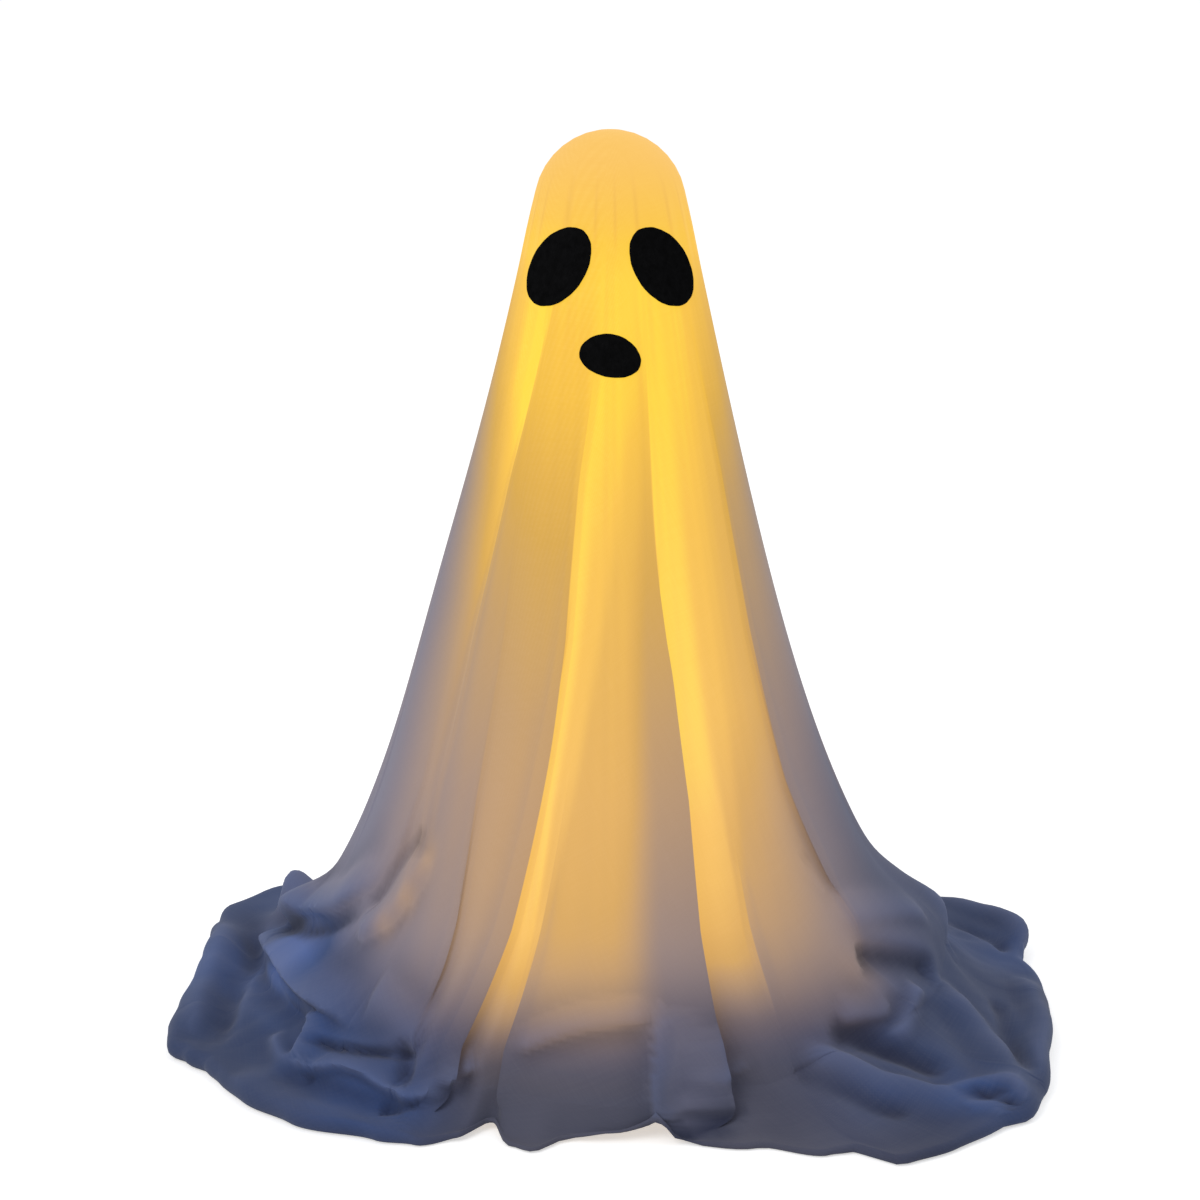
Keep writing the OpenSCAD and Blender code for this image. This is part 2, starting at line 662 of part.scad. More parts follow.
module battery_cells() {
    color([0.25, 0.3, 0.35]) for (k = [0:cell_count - 1])
        translate([0, cell_y(k), cell_z]) rotate([0, 0, cell_side(k) > 0 ? 0 : 180])
            translate([cell_start(), 0, 0]) rotate([0, 90, 0]) {
                cylinder(r = cell_r, h = cell_len - nub_h);
                cylinder(r = nub_r, h = cell_len);
            }
}

// Flat contacts on the end walls: one for each free end and one for each joined pair
module contact_plate(side, from, to) {
    wall_x = side * (bay_len / 2 - contact_t / 2);
    span = cell_y(to) - cell_y(from) + contact_w;
    translate([wall_x, (cell_y(from) + cell_y(to)) / 2, cell_z])
        cube([contact_t, span, contact_w], center = true);
}

module contact_plates() {
    color("gold") for (side = [-1, 1]) {
        contact_plate(side, side > 0 ? 0 : cell_count - 1, side > 0 ? 0 : cell_count - 1);
        contact_plate(side, side > 0 ? 1 : 0, side > 0 ? 2 : 1);
        translate([side * (bay_len / 2 - contact_t / 2) - contact_t / 2, tab_y(side) - tab_w / 2, cell_z])
            cube([contact_t, tab_w, tab_z - cell_z]);
    }
}

// Cone spring that grows narrower towards the cell, closed by a straight lead at each end
spring_steps = 8;
spring_len = spring_room - 2 * slide_gap;
function spring_route() = [for (k = [0:spring_turns * spring_steps])
    let (share = k / (spring_turns * spring_steps), r = mix(spring_wide, spring_narrow, share))
    [spring_wire / 2 + (spring_len - spring_wire) * share,
     r * cos(360 * k / spring_steps), r * sin(360 * k / spring_steps)]];
// Least room between turns, measured on the points of the wire's middle line
spring_clear = min([for (i = [0:len(spring_route()) - 1], j = [0:len(spring_route()) - 1])
    if (j - i >= spring_steps / 2) norm(spring_route()[j] - spring_route()[i])]) - spring_wire;
echo(least_gap_between_spring_turns = spring_clear);

module contact_springs() {
    color("silver") for (k = [0:cell_count - 1])
        translate([0, cell_y(k), cell_z]) rotate([0, 0, cell_side(k) > 0 ? 0 : 180])
            translate([-bay_len / 2 + contact_t + slide_gap, 0, 0]) tube(spring_route(), spring_wire, 6);
}

module switch_board() {
    color([0.1, 0.35, 0.18]) translate([0, -switch_y, switch_board_z]) difference() {
        translate([-switch_board_size[0] / 2, -switch_board_size[1] / 2, 0]) cube(switch_board_size);
        for (side = [-1, 1]) translate([side * switch_post_x, 0, -over])
            cylinder(r = switch_screw_r + fit_gap, h = switch_board_size[2] + 2 * over);
    }
}

module switch_body() {
    slot_l = knob_stem_l + switch_travel + 2 * slide_gap;
    slot_w = knob_stem_w + 2 * slide_gap;
    color("silver") translate([0, -switch_y, switch_can_z]) difference() {
        translate([-switch_can[0] / 2, -switch_can[1] / 2, 0]) cube(switch_can);
        translate([-slot_l / 2, -slot_w / 2, switch_can[2] - stem_depth - slide_gap])
            cube([slot_l, slot_w, stem_depth + slide_gap + over]);
    }
}

module switch_screws() {
    color("silver") for (side = [-1, 1])
        translate([side * switch_post_x, -switch_y, switch_board_z - switch_screw_head_h])
            screw(switch_screw_r, switch_screw_head_r, switch_screw_head_h,
                switch_board_size[2] + switch_can[2] - 2 * over);
}

// The knob stands at its lit position, at the +X end of the slot
module switch_knob() {
    ribs = 3;
    rib_w = 0.8;
    rib_deep = 0.6;
    cap_z = base_h + slide_gap;
    color([0.1, 0.1, 0.1]) translate([switch_travel / 2, -switch_y, 0]) difference() {
        union() {
            translate([-knob_len / 2, -knob_w / 2, cap_z]) cube([knob_len, knob_w, knob_h - slide_gap]);
            translate([-knob_stem_l / 2, -knob_stem_w / 2, switch_can_top - stem_depth])
                cube([knob_stem_l, knob_stem_w, cap_z - switch_can_top + stem_depth + over]);
        }
        for (k = [-(ribs - 1) / 2:(ribs - 1) / 2])
            translate([k * 3 * rib_w - rib_w / 2, -knob_w / 2 - over, base_h + knob_h - rib_deep])
                cube([rib_w, knob_w + 2 * over, rib_deep + over]);
    }
}

// Wires: two run up inside the pole to the light board, one links the cells to the switch
wire_sides = 8;
wire_steps = 4;
wire_x = 2;                                     // distance of each wire from the pole's middle line
wire_low = nut_z - wire_room / 2;               // height of the wires under the nut
function up_the_pole(x) = [[x, 0, nut_z + 8], [x, 0, pole_top], [x, 0, led_board_z - fit_gap]];
module lead(points, straight, paint) {
    color(paint) tube(concat(smooth_route(points, wire_steps), straight), wire_d, wire_sides);
}

module red_lead() {
    start = [-8, -switch_y + 3, switch_board_z - fit_gap - wire_d / 2];
    lead(concat([start, start + [0, 8, -2], [-7, -32, 15], [-4, -20, wire_low + 2], [-1, -8, wire_low],
        [wire_x - 0.4, -2.4, wire_low + 0.8], [wire_x, 0, nut_z + 3]]), up_the_pole(wire_x), "red");
}

module black_lead() {
    start = [-bay_len / 2 + contact_t + fit_gap + wire_d / 2, tab_y(-1), tab_z - 1.5];
    lead(concat([start, start + [0, -5, 0.5], [-38, 34, 19], [-38, 18, 12], [-28, 6, wire_low + 1],
        [-14, 1, wire_low], [-wire_x - 2.6, 0.2, wire_low + 0.4], [-wire_x, 0, nut_z + 3]]),
        up_the_pole(-wire_x), "black");
}

module link_lead() {
    start = [bay_len / 2 - contact_t - fit_gap - wire_d / 2, tab_y(1), tab_z - 1.5];
    finish = [8, -switch_y + 3, switch_board_z - fit_gap - wire_d / 2];
    lead([start, start + [0, -6, 0.5], [32, 6, 20], [27, -16, 18], [16, -36, 17], finish + [2, 7, -1.5],
        finish], [], "red");
}

cloth_cover();
left_eye();
right_eye();
mouth();
dome_diffuser();
dome_screws();
lamp_cup();
cup_screw();
wire_grommet();
led_board();
led_chips();
board_screws();
pole();
pole_collar();
pole_washer();
pole_nut();
base_shell();
base_plate();
base_screws();
base_pad();
battery_door();
battery_cells();
contact_plates();
contact_springs();
switch_board();
switch_body();
switch_screws();
switch_knob();
red_lead();
black_lead();
link_lead();
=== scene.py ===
import json
import math
from collections import namedtuple

import bpy
import numpy as np
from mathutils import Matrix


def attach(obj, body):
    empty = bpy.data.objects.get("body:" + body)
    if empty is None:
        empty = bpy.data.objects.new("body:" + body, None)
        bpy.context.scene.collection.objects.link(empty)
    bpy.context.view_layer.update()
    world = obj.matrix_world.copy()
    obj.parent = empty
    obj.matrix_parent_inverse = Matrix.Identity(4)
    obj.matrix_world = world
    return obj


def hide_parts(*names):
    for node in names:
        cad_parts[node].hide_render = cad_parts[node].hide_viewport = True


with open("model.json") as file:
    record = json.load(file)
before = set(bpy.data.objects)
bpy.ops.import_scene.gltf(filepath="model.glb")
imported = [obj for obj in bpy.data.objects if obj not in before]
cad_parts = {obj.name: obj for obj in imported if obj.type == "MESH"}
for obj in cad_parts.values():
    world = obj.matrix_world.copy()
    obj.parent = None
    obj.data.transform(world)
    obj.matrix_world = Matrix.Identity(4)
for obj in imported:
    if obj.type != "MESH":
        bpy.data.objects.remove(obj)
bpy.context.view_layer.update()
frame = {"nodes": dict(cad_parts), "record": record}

mm = 0.001
cadNodes = frame["nodes"]
bpy.ops.object.select_all(action="DESELECT")
print("frame:", len(cadNodes), "CAD nodes")


# camera, on the photograph's view

view = {"place": (-0.0065, -2.0236, 0.8602), "tilt": 74.5, "lens": 95.0, "sensor": 36.0}

bpy.ops.object.camera_add(location=view["place"], rotation=(math.radians(view["tilt"]), 0, 0))
camera = bpy.context.object
camera.name = "photoCamera"
camera.data.lens = view["lens"]
camera.data.sensor_width = view["sensor"]
bpy.context.scene.camera = camera
bpy.context.scene.view_settings.view_transform = "Standard"
print("camera set")


# shader maths: a wrapped socket that adds Math nodes, and one method for every other node

class Wire:
    def __init__(self, nodes, socket):
        self.nodes = nodes
        self.socket = socket

    def maths(self, operation, first, second=0.0, clamped=False):
        return self.nodes.node("ShaderNodeMath", {"operation": operation, "use_clamp": clamped},
                               {0: first, 1: second})

    def __add__(self, other):
        return self.maths("ADD", self, other)

    def __radd__(self, other):
        return self.maths("ADD", other, self)

    def __sub__(self, other):
        return self.maths("SUBTRACT", self, other)

    def __rsub__(self, other):
        return self.maths("SUBTRACT", other, self)

    def __mul__(self, other):
        return self.maths("MULTIPLY", self, other)

    def __rmul__(self, other):
        return self.maths("MULTIPLY", other, self)

    def __truediv__(self, other):
        return self.maths("DIVIDE", self, other)

    def __abs__(self):
        return self.maths("ABSOLUTE", self)

    def above(self, edge):
        return self.maths("GREATER_THAN", self, edge)

    def clamped(self):
        return self.maths("ADD", self, 0.0, True)

    def wave(self):
        return self.maths("SINE", self)


class Nodes:
    def __init__(self, tree):
        self.tree = tree

    def fill(self, node, values):
        for key, value in values.items():
            socket = node.inputs[key]
            if isinstance(value, Wire):
                self.tree.links.new(value.socket, socket)
            else:
                socket.default_value = value

    def node(self, kind, settings=None, values=None, output=0):
        node = self.tree.nodes.new(kind)
        for key, value in (settings or {}).items():
            if key == "stops":
                ramp = node.color_ramp.elements
                ramp[0].position, ramp[-1].position = value[0][0], value[-1][0]
                for stop in value[1:-1]:
                    ramp.new(stop[0])
                for element, (place, colour) in zip(ramp, value):
                    element.color = (*colour, 1)
            else:
                setattr(node, key, value)
        self.fill(node, values or {})
        return Wire(self, node.outputs[output])

    def seen(self):
        # 1 for what the camera sees, also in a mirror or through glass
        rays = ("Is Camera Ray", "Is Glossy Ray", "Is Transmission Ray")
        return sum(self.node("ShaderNodeLightPath", output=ray) for ray in rays).clamped()

    def show(self, wire, output):
        self.tree.links.new(wire.socket, self.tree.nodes[output].inputs["Surface"])


class Finish(Nodes):
    def __init__(self, name):
        self.material = bpy.data.materials.new(name)
        self.material.use_nodes = True
        super().__init__(self.material.node_tree)
        self.shader = self.tree.nodes["Principled BSDF"]

    def place(self, kind="Object"):
        return self.node("ShaderNodeTexCoord", output=kind)

    def attribute(self, name, output):
        return self.node("ShaderNodeAttribute", {"attribute_name": name}, output=output)

    def scaled(self, where, size):
        return self.node("ShaderNodeMapping", None, {"Vector": where, "Scale": size})

    def along(self, where, axis):
        return self.node("ShaderNodeSeparateXYZ", None, {0: where}, output=axis)

    def noise(self, where, scale, detail=2.0, rough=0.5):
        return self.node("ShaderNodeTexNoise", None,
                         {"Vector": where, "Scale": scale, "Detail": detail, "Roughness": rough})

    def cells(self, where, scale):
        return self.node("ShaderNodeTexVoronoi", None, {"Vector": where, "Scale": scale})

    def blend(self, share, first, second):
        return self.node("ShaderNodeMix", {"data_type": "RGBA"}, {0: share, 6: first, 7: second}, output=2)

    def ramp(self, share, stops):
        return self.node("ShaderNodeValToRGB", {"stops": stops}, {0: share})

    def bump(self, height, distance, strength):
        return self.node("ShaderNodeBump", None,
                         {"Height": height, "Distance": distance, "Strength": strength})

    def surface(self, **values):
        self.fill(self.shader, {key.replace("_", " "): value for key, value in values.items()})
        return self.material


def rgb(red, green, blue):
    return (red, green, blue, 1)


def pick(piece):
    bpy.ops.object.select_all(action="DESELECT")
    bpy.context.view_layer.objects.active = piece
    piece.select_set(True)


# cloth: one voile sheet, sewn up the back, over the dome and out on the floor

# lengths are in mm, and angles in degrees from the front, positive towards +X
cloth = {
    "crownRadius": 48.9, "crownCentre": 561.1, "lean": 0.215,      # the CAD cover's form
    "flareSide": 105, "flareFront": 22, "flareHeight": 100,
    "leftBulge": (-85, 290, 45, 130, 7),                           # the left side hangs fuller
    "rightSweep": (97, 76, 27, 25, 19),                            # the right side sweeps out
    "crownRows": 8, "skirtRows": 72, "poolRows": 38, "rimRows": 8,
    "rowSpread": 1.7,                                              # rows stand closer towards the foot
    "sway": {"size": 1.6, "waves": 9, "slant": 0.006},
    "ruck": {"size": 0.5, "waves": 19, "height": 548, "reach": 22, "drift": 1.3, "driftWaves": 5},
    "footHeight": 45.0, "footCurve": 2.2, "leastPool": 6, "hemRoll": 150,
    "thickness": 0.6, "smoothAngle": 55,
    "flatAngle": 130, "flat": (1.34, 0.74), "flatArea": 0.62,      # sewn from one sector of cloth, in metres
}

# each pleat: its angles at lineHeights, the panel in front (1 right, -1 left), depth and lap at the foot,
# the height where it starts, the height where it ends, columns in the panel to its right
lineHeights = (560, 480, 400, 300, 200, 120, 50)
Pleat = namedtuple("Pleat", "line front depth lap top foot columns")
pleats = [Pleat(*row) for row in [
    ((-170, -170, -169, -168, -167, -166, -166), 1, 8, 10, 430, 0, 14),
    ((-146, -145, -143, -141, -139, -137, -136), -1, 9, 10, 450, 0, 24),
    ((-118, -117, -115, -113, -111, -109, -108), 1, 8, 8, 470, 40, 26),
    ((-84, -85, -86, -86, -85, -84, -84), -1, 2, 2, 380, 110, 20),
    ((-44, -50, -57, -59, -58, -61, -70), -1, 8, 5, 240, 110, 20),         # warm sliver to its right
    ((-34, -40, -47, -51, -53, -51, -54), 1, 5, 4, 520, 190, 16),          # bright band to its left
    ((-28, -35, -39, -36.5, -37.5, -37, -39), -1, 5, 3, 420, 30, 14),
    ((-2, -6, -12, -14, -19.2, -23.6, -30), -1, 9, 7, 500, 0, 10),         # first bright stripe
    ((7, 5, -1, -7.5, -13.5, -17.7, -22), 1, 4, 2.5, 250, 0, 24),
    ((21, 20.6, 20.4, 20, 22, 21.5, 23), -1, 11, 18, 520, 0, 12),          # second bright stripe
    ((33, 33, 33.5, 33.5, 33.5, 33.2, 35.5), 1, 5, 3, 190, 40, 20),
    ((46, 52, 54.5, 53.5, 55, 61, 64), 1, 8, 5, 520, 85, 30),
    ((84, 85, 86, 87, 88, 89, 91), -1, 3, 3, 360, 100, 26),
    ((118, 118, 117, 116, 115, 114, 113), -1, 9, 10, 460, 0, 14),
    ((150, 149, 147, 145, 143, 141, 140), 1, 9, 10, 450, 0, 14),
]]

# how a pleat grows down the skirt and laps, and how it eases on the floor
fold = {
    "fullHeight": 60, "mostGrowth": 1.15, "endFade": 70,
    "depthCurve": 1.3, "lapCurve": 1.2, "leastLap": 1.5,
    "easeShares": (0.05, 0.6), "floorEase": 0.75,
    "lapDepths": (2, 5), "openShares": (0.2, 0.6),                 # a shallow pleat doesn't lap
    "middle": 0.6, "fullness": 0.35,
}

# hem on the floor: angle and distance from the pole
hemLine = [
    (-180, 296), (-165, 300), (-150, 304), (-138, 318), (-128, 332), (-122, 334), (-116, 321), (-110, 307),
    (-103, 298), (-96, 293), (-89, 296), (-82, 301), (-77, 303), (-74, 294), (-70, 284), (-66, 281),
    (-59, 278), (-50, 269), (-37, 248), (-31, 239), (-26, 220), (-23, 194), (-17, 215), (-13, 220), (-8, 200),
    (-2, 186), (7, 180), (11, 206), (24, 228), (32, 258), (35, 262), (38, 296), (46, 303), (54, 308),
    (58, 318), (64, 313), (76, 301), (85, 302), (93, 303), (99, 306), (104, 304), (108, 311), (112, 326),
    (120, 322), (140, 290), (160, 302)]
# by angle: how far the hem hangs clear of the floor in front
hemLift = [(-180, 0), (-29, 0), (-23, 4), (-17, 0), (-9, 1), (1, 6), (9, 12), (12, 3), (16, 0), (160, 0)]
# by angle: the height where the skirt turns out on to the floor, and the radius of the rolled hem
footLine = [
    (-180, 32, 6), (-148, 38, 8), (-116, 50, 9), (-90, 46, 8), (-60, 40, 6), (-40, 36, 4), (-22, 26, 2),
    (5, 22, 1.2), (25, 26, 2), (45, 36, 4), (65, 44, 6), (90, 50, 7), (116, 46, 10), (146, 34, 7)]


def step(low, high, value):
    share = np.clip((value - low) / (high - low), 0, 1)
    return share * share * (3 - 2 * share)


def ringTable(rows, column, angle):
    # a column of a table by angle, eased from row to row all round
    rows = sorted(rows)
    first, last = rows[-1], rows[0]
    at = np.array([first[0] - 360] + [row[0] for row in rows] + [last[0] + 360], float)
    value = np.array([first[column]] + [row[column] for row in rows] + [last[column]], float)
    angle = (np.asarray(angle, float) + 180) % 360 - 180
    low = np.clip(np.searchsorted(at, angle, "right") - 1, 0, len(at) - 2)
    return value[low] + (value[low + 1] - value[low]) * step(at[low], at[low + 1], angle)


def swell(angle, z, spot):
    # a soft rise on the skirt: angle, height, reach of each, size
    atAngle, atHeight, angleReach, heightReach, size = spot
    return size * np.exp(-((angle - atAngle) / angleReach) ** 2 - ((z - atHeight) / heightReach) ** 2)


def sideAngle(points):
    return np.degrees(np.arctan2(points[..., 0], -points[..., 1]))


crownTurn = math.atan(1 / cloth["lean"])
clothTop = cloth["crownCentre"] + cloth["crownRadius"]
skirtTopR = cloth["crownRadius"] * math.sin(crownTurn)
skirtTopZ = cloth["crownCentre"] + cloth["crownRadius"] * math.cos(crownTurn)


def skirtRadius(angle, z):
    flare = cloth["flareFront"] + (cloth["flareSide"] - cloth["flareFront"]) * np.sin(np.radians(angle)) ** 2
    fall = np.exp(-z / cloth["flareHeight"]) - math.exp(-skirtTopZ / cloth["flareHeight"])
    swells = swell(angle, z, cloth["leftBulge"]) + swell(angle, z, cloth["rightSweep"])
    return skirtTopR + cloth["lean"] * (skirtTopZ - z) + flare * fall + swells


def pleatLine(pleat, z):
    return np.interp(-z, [-height for height in lineHeights], pleat.line)


def pleatGrowth(pleat, z):
    grown = np.clip((pleat.top - z) / (pleat.top - fold["fullHeight"]), 0, fold["mostGrowth"])
    if not pleat.foot:
        return grown
    return grown * step(pleat.foot - 1, pleat.foot + fold["endFade"], z)


# a pleat's profile across its lap, its edge at 0: place as a share of the lap, height from behind (0) to
# front (1), and the same for a pleat that doesn't lap
foldPlace = np.array([-1.4, -0.2, 0.0, -0.2, -0.8, -1.0, -0.8, 0.4])
foldFront = np.array([1, 1, 0.84, 0.66, 0.4, 0.18, 0, 0])
flatPlace = np.linspace(foldPlace[0], foldPlace[-1], len(foldPlace))
flatFront = 1 - step(foldPlace[0], foldPlace[-1], flatPlace)
lastLip, lastInside = 2, 5             # points of the profile on the front lip, and inside the fold


def lapSpot(lapPoint, front):
    return lapPoint if front < 0 else len(foldPlace) - 1 - lapPoint


def clothColumns():
    columns = []                       # pleat, lap point or None, share across the panel
    for index, pleat in enumerate(pleats):
        columns += [(index, lap, 0.0) for lap in range(len(foldPlace))]
        columns += [(index, None, (k + 1) / (pleat.columns + 1)) for k in range(pleat.columns)]
    return columns


def pleatEdge(index, z, ease):
    # angle of a pleat's edge, its depth, its lap and the panel in front
    pleat = pleats[index % len(pleats)]
    growth = pleatGrowth(pleat, z)
    angle = pleatLine(pleat, z) + 360 * (index // len(pleats))
    depth = pleat.depth * growth ** fold["depthCurve"] * ease
    lap = fold["leastLap"] + pleat.lap * growth ** fold["lapCurve"]
    return angle, depth, lap, pleat.front


def clothSide(column, z, share):
    # angle and offset from the mean skirt for one column at heights z, this share of the way out on the floor
    index, lapPoint, across = column
    ease = 1 - fold["floorEase"] * step(*fold["easeShares"], share)
    angle, depth, lap, front = pleatEdge(index, z, ease)
    radius = skirtRadius(angle, z)
    if lapPoint is not None:
        folded = step(*fold["lapDepths"], depth) * (1 - step(*fold["openShares"], share))
        spot = lapSpot(lapPoint, front)
        place = (flatPlace[spot] + (foldPlace[spot] - flatPlace[spot]) * folded) * lap
        height = flatFront[spot] + (foldFront[spot] - flatFront[spot]) * folded
        return angle - front * np.degrees(place / radius), depth * (height - fold["middle"])
    nextAngle, nextDepth, nextLap, nextFront = pleatEdge(index + 1, z, ease)
    left = angle + np.degrees((foldPlace[-1] if front < 0 else -foldPlace[0]) * lap / radius)
    right = nextAngle - np.degrees((-foldPlace[0] if nextFront < 0 else foldPlace[-1]) * nextLap / radius)
    start = depth * ((front > 0) - fold["middle"])
    end = nextDepth * ((nextFront < 0) - fold["middle"])
    full = fold["fullness"] * (depth + nextDepth) * math.sin(math.pi * across) ** 2
    return left + (right - left) * across, start + (end - start) * step(0, 1, across) + full


# one column of the cloth: angle, radius and height of its points on the crown, the skirt and the floor

def crownRun(column):
    turn = crownTurn * np.arange(1, cloth["crownRows"] + 1) / cloth["crownRows"]
    angle = clothSide(column, np.array(skirtTopZ), np.array(0.0))[0]
    radius = cloth["crownRadius"] * np.sin(turn)
    return [np.full_like(turn, angle), radius, cloth["crownCentre"] + cloth["crownRadius"] * np.cos(turn)]


def skirtRun(column, foot, pleated):
    share = np.arange(1, cloth["skirtRows"] + 1) / cloth["skirtRows"]
    z = skirtTopZ + (foot - skirtTopZ) * (1 - (1 - share) ** cloth["rowSpread"])
    angle, offset = clothSide(column, z, np.zeros_like(z))
    turn = np.radians(angle)
    sway, ruck = cloth["sway"], cloth["ruck"]
    swaying = (1 - share) * share * sway["size"] * np.sin(turn * sway["waves"] + z * sway["slant"])
    rucked = np.sin(turn * ruck["waves"] + ruck["drift"] * np.sin(turn * ruck["driftWaves"]))
    rucked *= ruck["size"] * np.exp(-((z - ruck["height"]) / ruck["reach"]) ** 2)
    return [angle, skirtRadius(angle, z) + (offset + swaying + rucked) * pleated, z]


def poolRun(column, foot, rim, footR):
    row = np.arange(1, cloth["poolRows"] + 1)
    flatRows = cloth["poolRows"] - cloth["rimRows"]
    share = np.minimum(row / flatRows, 1)
    roll = np.radians(cloth["hemRoll"]) * np.clip((row - flatRows) / cloth["rimRows"], 0, 1)
    angle = clothSide(column, np.full_like(share, foot), share)[0]
    hem = np.maximum(ringTable(hemLine, 1, angle), footR + cloth["leastPool"])
    radius = footR + (hem - rim - footR) * share + rim * np.sin(roll)
    flat = 2 * rim + (foot - 2 * rim) * (1 - share) ** cloth["footCurve"]
    lift = ringTable(hemLift, 1, angle) * share * share
    return [angle, radius, np.where(roll > 0, rim * (1 + np.cos(roll)), flat) + lift + cloth["thickness"]]


def clothForm(pleated=1.0):
    sides = []
    for column in clothColumns():
        footAngle = clothSide(column, np.array(cloth["footHeight"]), np.array(1.0))[0]
        foot, rim = (ringTable(footLine, place, footAngle) for place in (1, 2))
        skirt = skirtRun(column, foot, pleated)
        pool = poolRun(column, foot, rim, skirt[1][-1])
        sides.append(np.concatenate([crownRun(column), skirt, pool], 1))
    angle, radius, height = np.moveaxis(np.array(sides), 1, 0)
    turn = np.radians(angle)
    return np.stack([radius * np.sin(turn), -radius * np.cos(turn), height], -1)


form = clothForm()
plainForm = clothForm(0.0)             # the same without its pleats
print("cloth form:", form.shape)


# light of the lamp through the cloth: brightness of a single layer by height, and how far round it reaches
lamp = {
    "heights": (0, 25, 40, 50, 60, 72, 85, 100, 120, 220, 350, 450, 520, 560, 590, 610),
    "levels": (0, 0.01, 0.05, 0.14, 0.3, 0.49, 0.67, 0.82, 0.92, 0.97, 0.98, 1.0, 0.98, 0.91, 0.9, 0.9),
    "reachHeights": (60, 165, 250, 315, 385, 435, 520, 560),
    "leftReach": (44, 56, 61, 63, 71, 84, 120, 260),
    "rightReach": (57, 62, 76, 80, 82, 92, 120, 260),
    "behind": 0.85, "behindReach": 1.2, "crownHeights": (430, 530),
    "poolShares": (0.0, 0.5), "panelSpan": (30, 600),              # where it fades on the floor
    "growthCurve": 1.5, "insideDim": 0.5, "fullBlend": 5, "lipReach": 4, "lipReachByLap": 1.6,
    "streaks": 0.008, "streakHeights": (560, 500), "rucks": 0.06, "ruckHeight": 563, "ruckReach": 17,
}
# share of the light that comes through the panel right of a pleat, at panelHeights: 1 is a single layer
panelHeights = (65, 100, 150, 200, 250, 350, 450, 560)
plainPanel = (0.62, 0.66, 0.7, 0.74, 0.78, 0.85, 1, 1)
panels = {
    0: (0.95, 1, 1, 1, 1, 1, 1, 1),
    1: (0.55, 0.64, 0.7, 0.75, 0.8, 0.88, 1, 1),
    3: (0.6, 0.68, 0.8, 0.85, 0.85, 0.9, 1, 1),
    4: (0.38, 0.42, 0.62, 0.75, 0.74, 1.03, 1.12, 1),
    5: (0.28, 0.31, 0.39, 0.45, 0.53, 0.68, 0.86, 1),
    6: (0.37, 0.44, 0.53, 0.545, 0.55, 0.67, 0.87, 1),
    7: (1, 1, 1, 1, 1, 1, 1, 1),
    8: (0.5, 0.66, 0.75, 0.78, 0.79, 0.83, 0.92, 1),
    9: (0.36, 0.82, 0.94, 0.98, 1, 1, 1, 1),
    10: (0.35, 0.51, 0.68, 0.77, 0.86, 0.88, 0.92, 1),
    11: (0.22, 0.26, 0.26, 0.27, 0.35, 0.56, 0.85, 1),
    13: (0.8, 0.88, 0.93, 0.96, 1, 1, 1, 1),
    14: (0.5, 0.6, 0.66, 0.7, 0.76, 0.85, 0.96, 1),
}
# how far the light of one panel blends into the next across a pleat, in mm at panelHeights
plainBlend = (4, 5, 7, 9, 11, 14, 16, 20)
blends = {
    0: (0, 0, 0, 0, 0.5, 1, 4, 12),
    1: (1, 1.5, 4, 10, 15, 20, 22, 22),
    4: (3, 3, 2, 8, 14, 14, 14, 18),
    5: (8, 8, 8, 8, 6, 2, 1.5, 8),
    6: (3, 2, 1.5, 1.5, 1.5, 4, 10, 14),
    7: (1, 1, 1, 1, 1, 1.5, 4, 12),
    8: (1, 1.5, 5, 9, 12, 16, 20, 22),
    9: (0, 0, 0, 0, 0, 0.5, 3, 12),
    10: (1, 1.5, 4, 10, 15, 20, 22, 22),
    11: (4, 3, 2, 1, 1, 1.5, 3, 10),
    13: (4, 3, 2, 1, 1, 1.5, 4, 12),
    14: (1, 1, 1, 1, 1.5, 3, 6, 14),
}
# share of the light that a pleat's front lip keeps at the foot
plainShade = 0.8
lipShade = {4: 0.6, 5: 0.75, 6: 0.8, 7: 0.75, 8: 0.75, 9: 0.22, 10: 0.6, 11: 0.7}
# light that leaks past the pleats: angle, height, reach of each, strength
glowPatches = [(-49, 153, 2.2, 13, 0.13), (-52, 128, 2.4, 12, 0.16), (-55.5, 108, 2.6, 10, 0.15),
               (57, 80, 6, 16, 0.08)]


def panelLight(index, z):
    return np.interp(z, panelHeights, panels.get(index % len(pleats), plainPanel))


def panelBlend(index, z):
    # reach of the blend at a pleat, and the share of it at the pleat's edge
    reach = np.interp(z, panelHeights, blends.get(index % len(pleats), plainBlend))
    return reach, 0.5 * np.clip(reach / lamp["fullBlend"], 0, 1)


def lipLight(index, z, gap):
    # share of the light that is left beside a pleat's front lip, this far from its edge
    pleat = pleats[index % len(pleats)]
    grown = pleatGrowth(pleat, z) ** lamp["growthCurve"]
    reach = lamp["lipReach"] + lamp["lipReachByLap"] * pleat.lap * grown
    shade = lipShade.get(index % len(pleats), plainShade)
    return 1 - (1 - shade) * grown * np.exp(-(gap / reach) ** 2)


def lapLight(index, lapPoint, z):
    # share of the light that comes through a pleat's lap at one point of its profile
    pleat = pleats[index]
    spot = lapSpot(lapPoint, pleat.front)
    onLip = spot <= lastLip
    near, far = (index, index - 1) if onLip == (pleat.front > 0) else (index - 1, index)
    soft = panelBlend(index, z)[1]
    light = (1 - soft) * panelLight(near, z) + soft * panelLight(far, z)
    if onLip:
        light *= lipLight(index, z, 0.0)
    elif spot <= lastInside:
        grown = pleatGrowth(pleat, z) ** lamp["growthCurve"]
        light *= 1 - lamp["insideDim"] * step(*fold["lapDepths"], pleat.depth * grown)
    return light


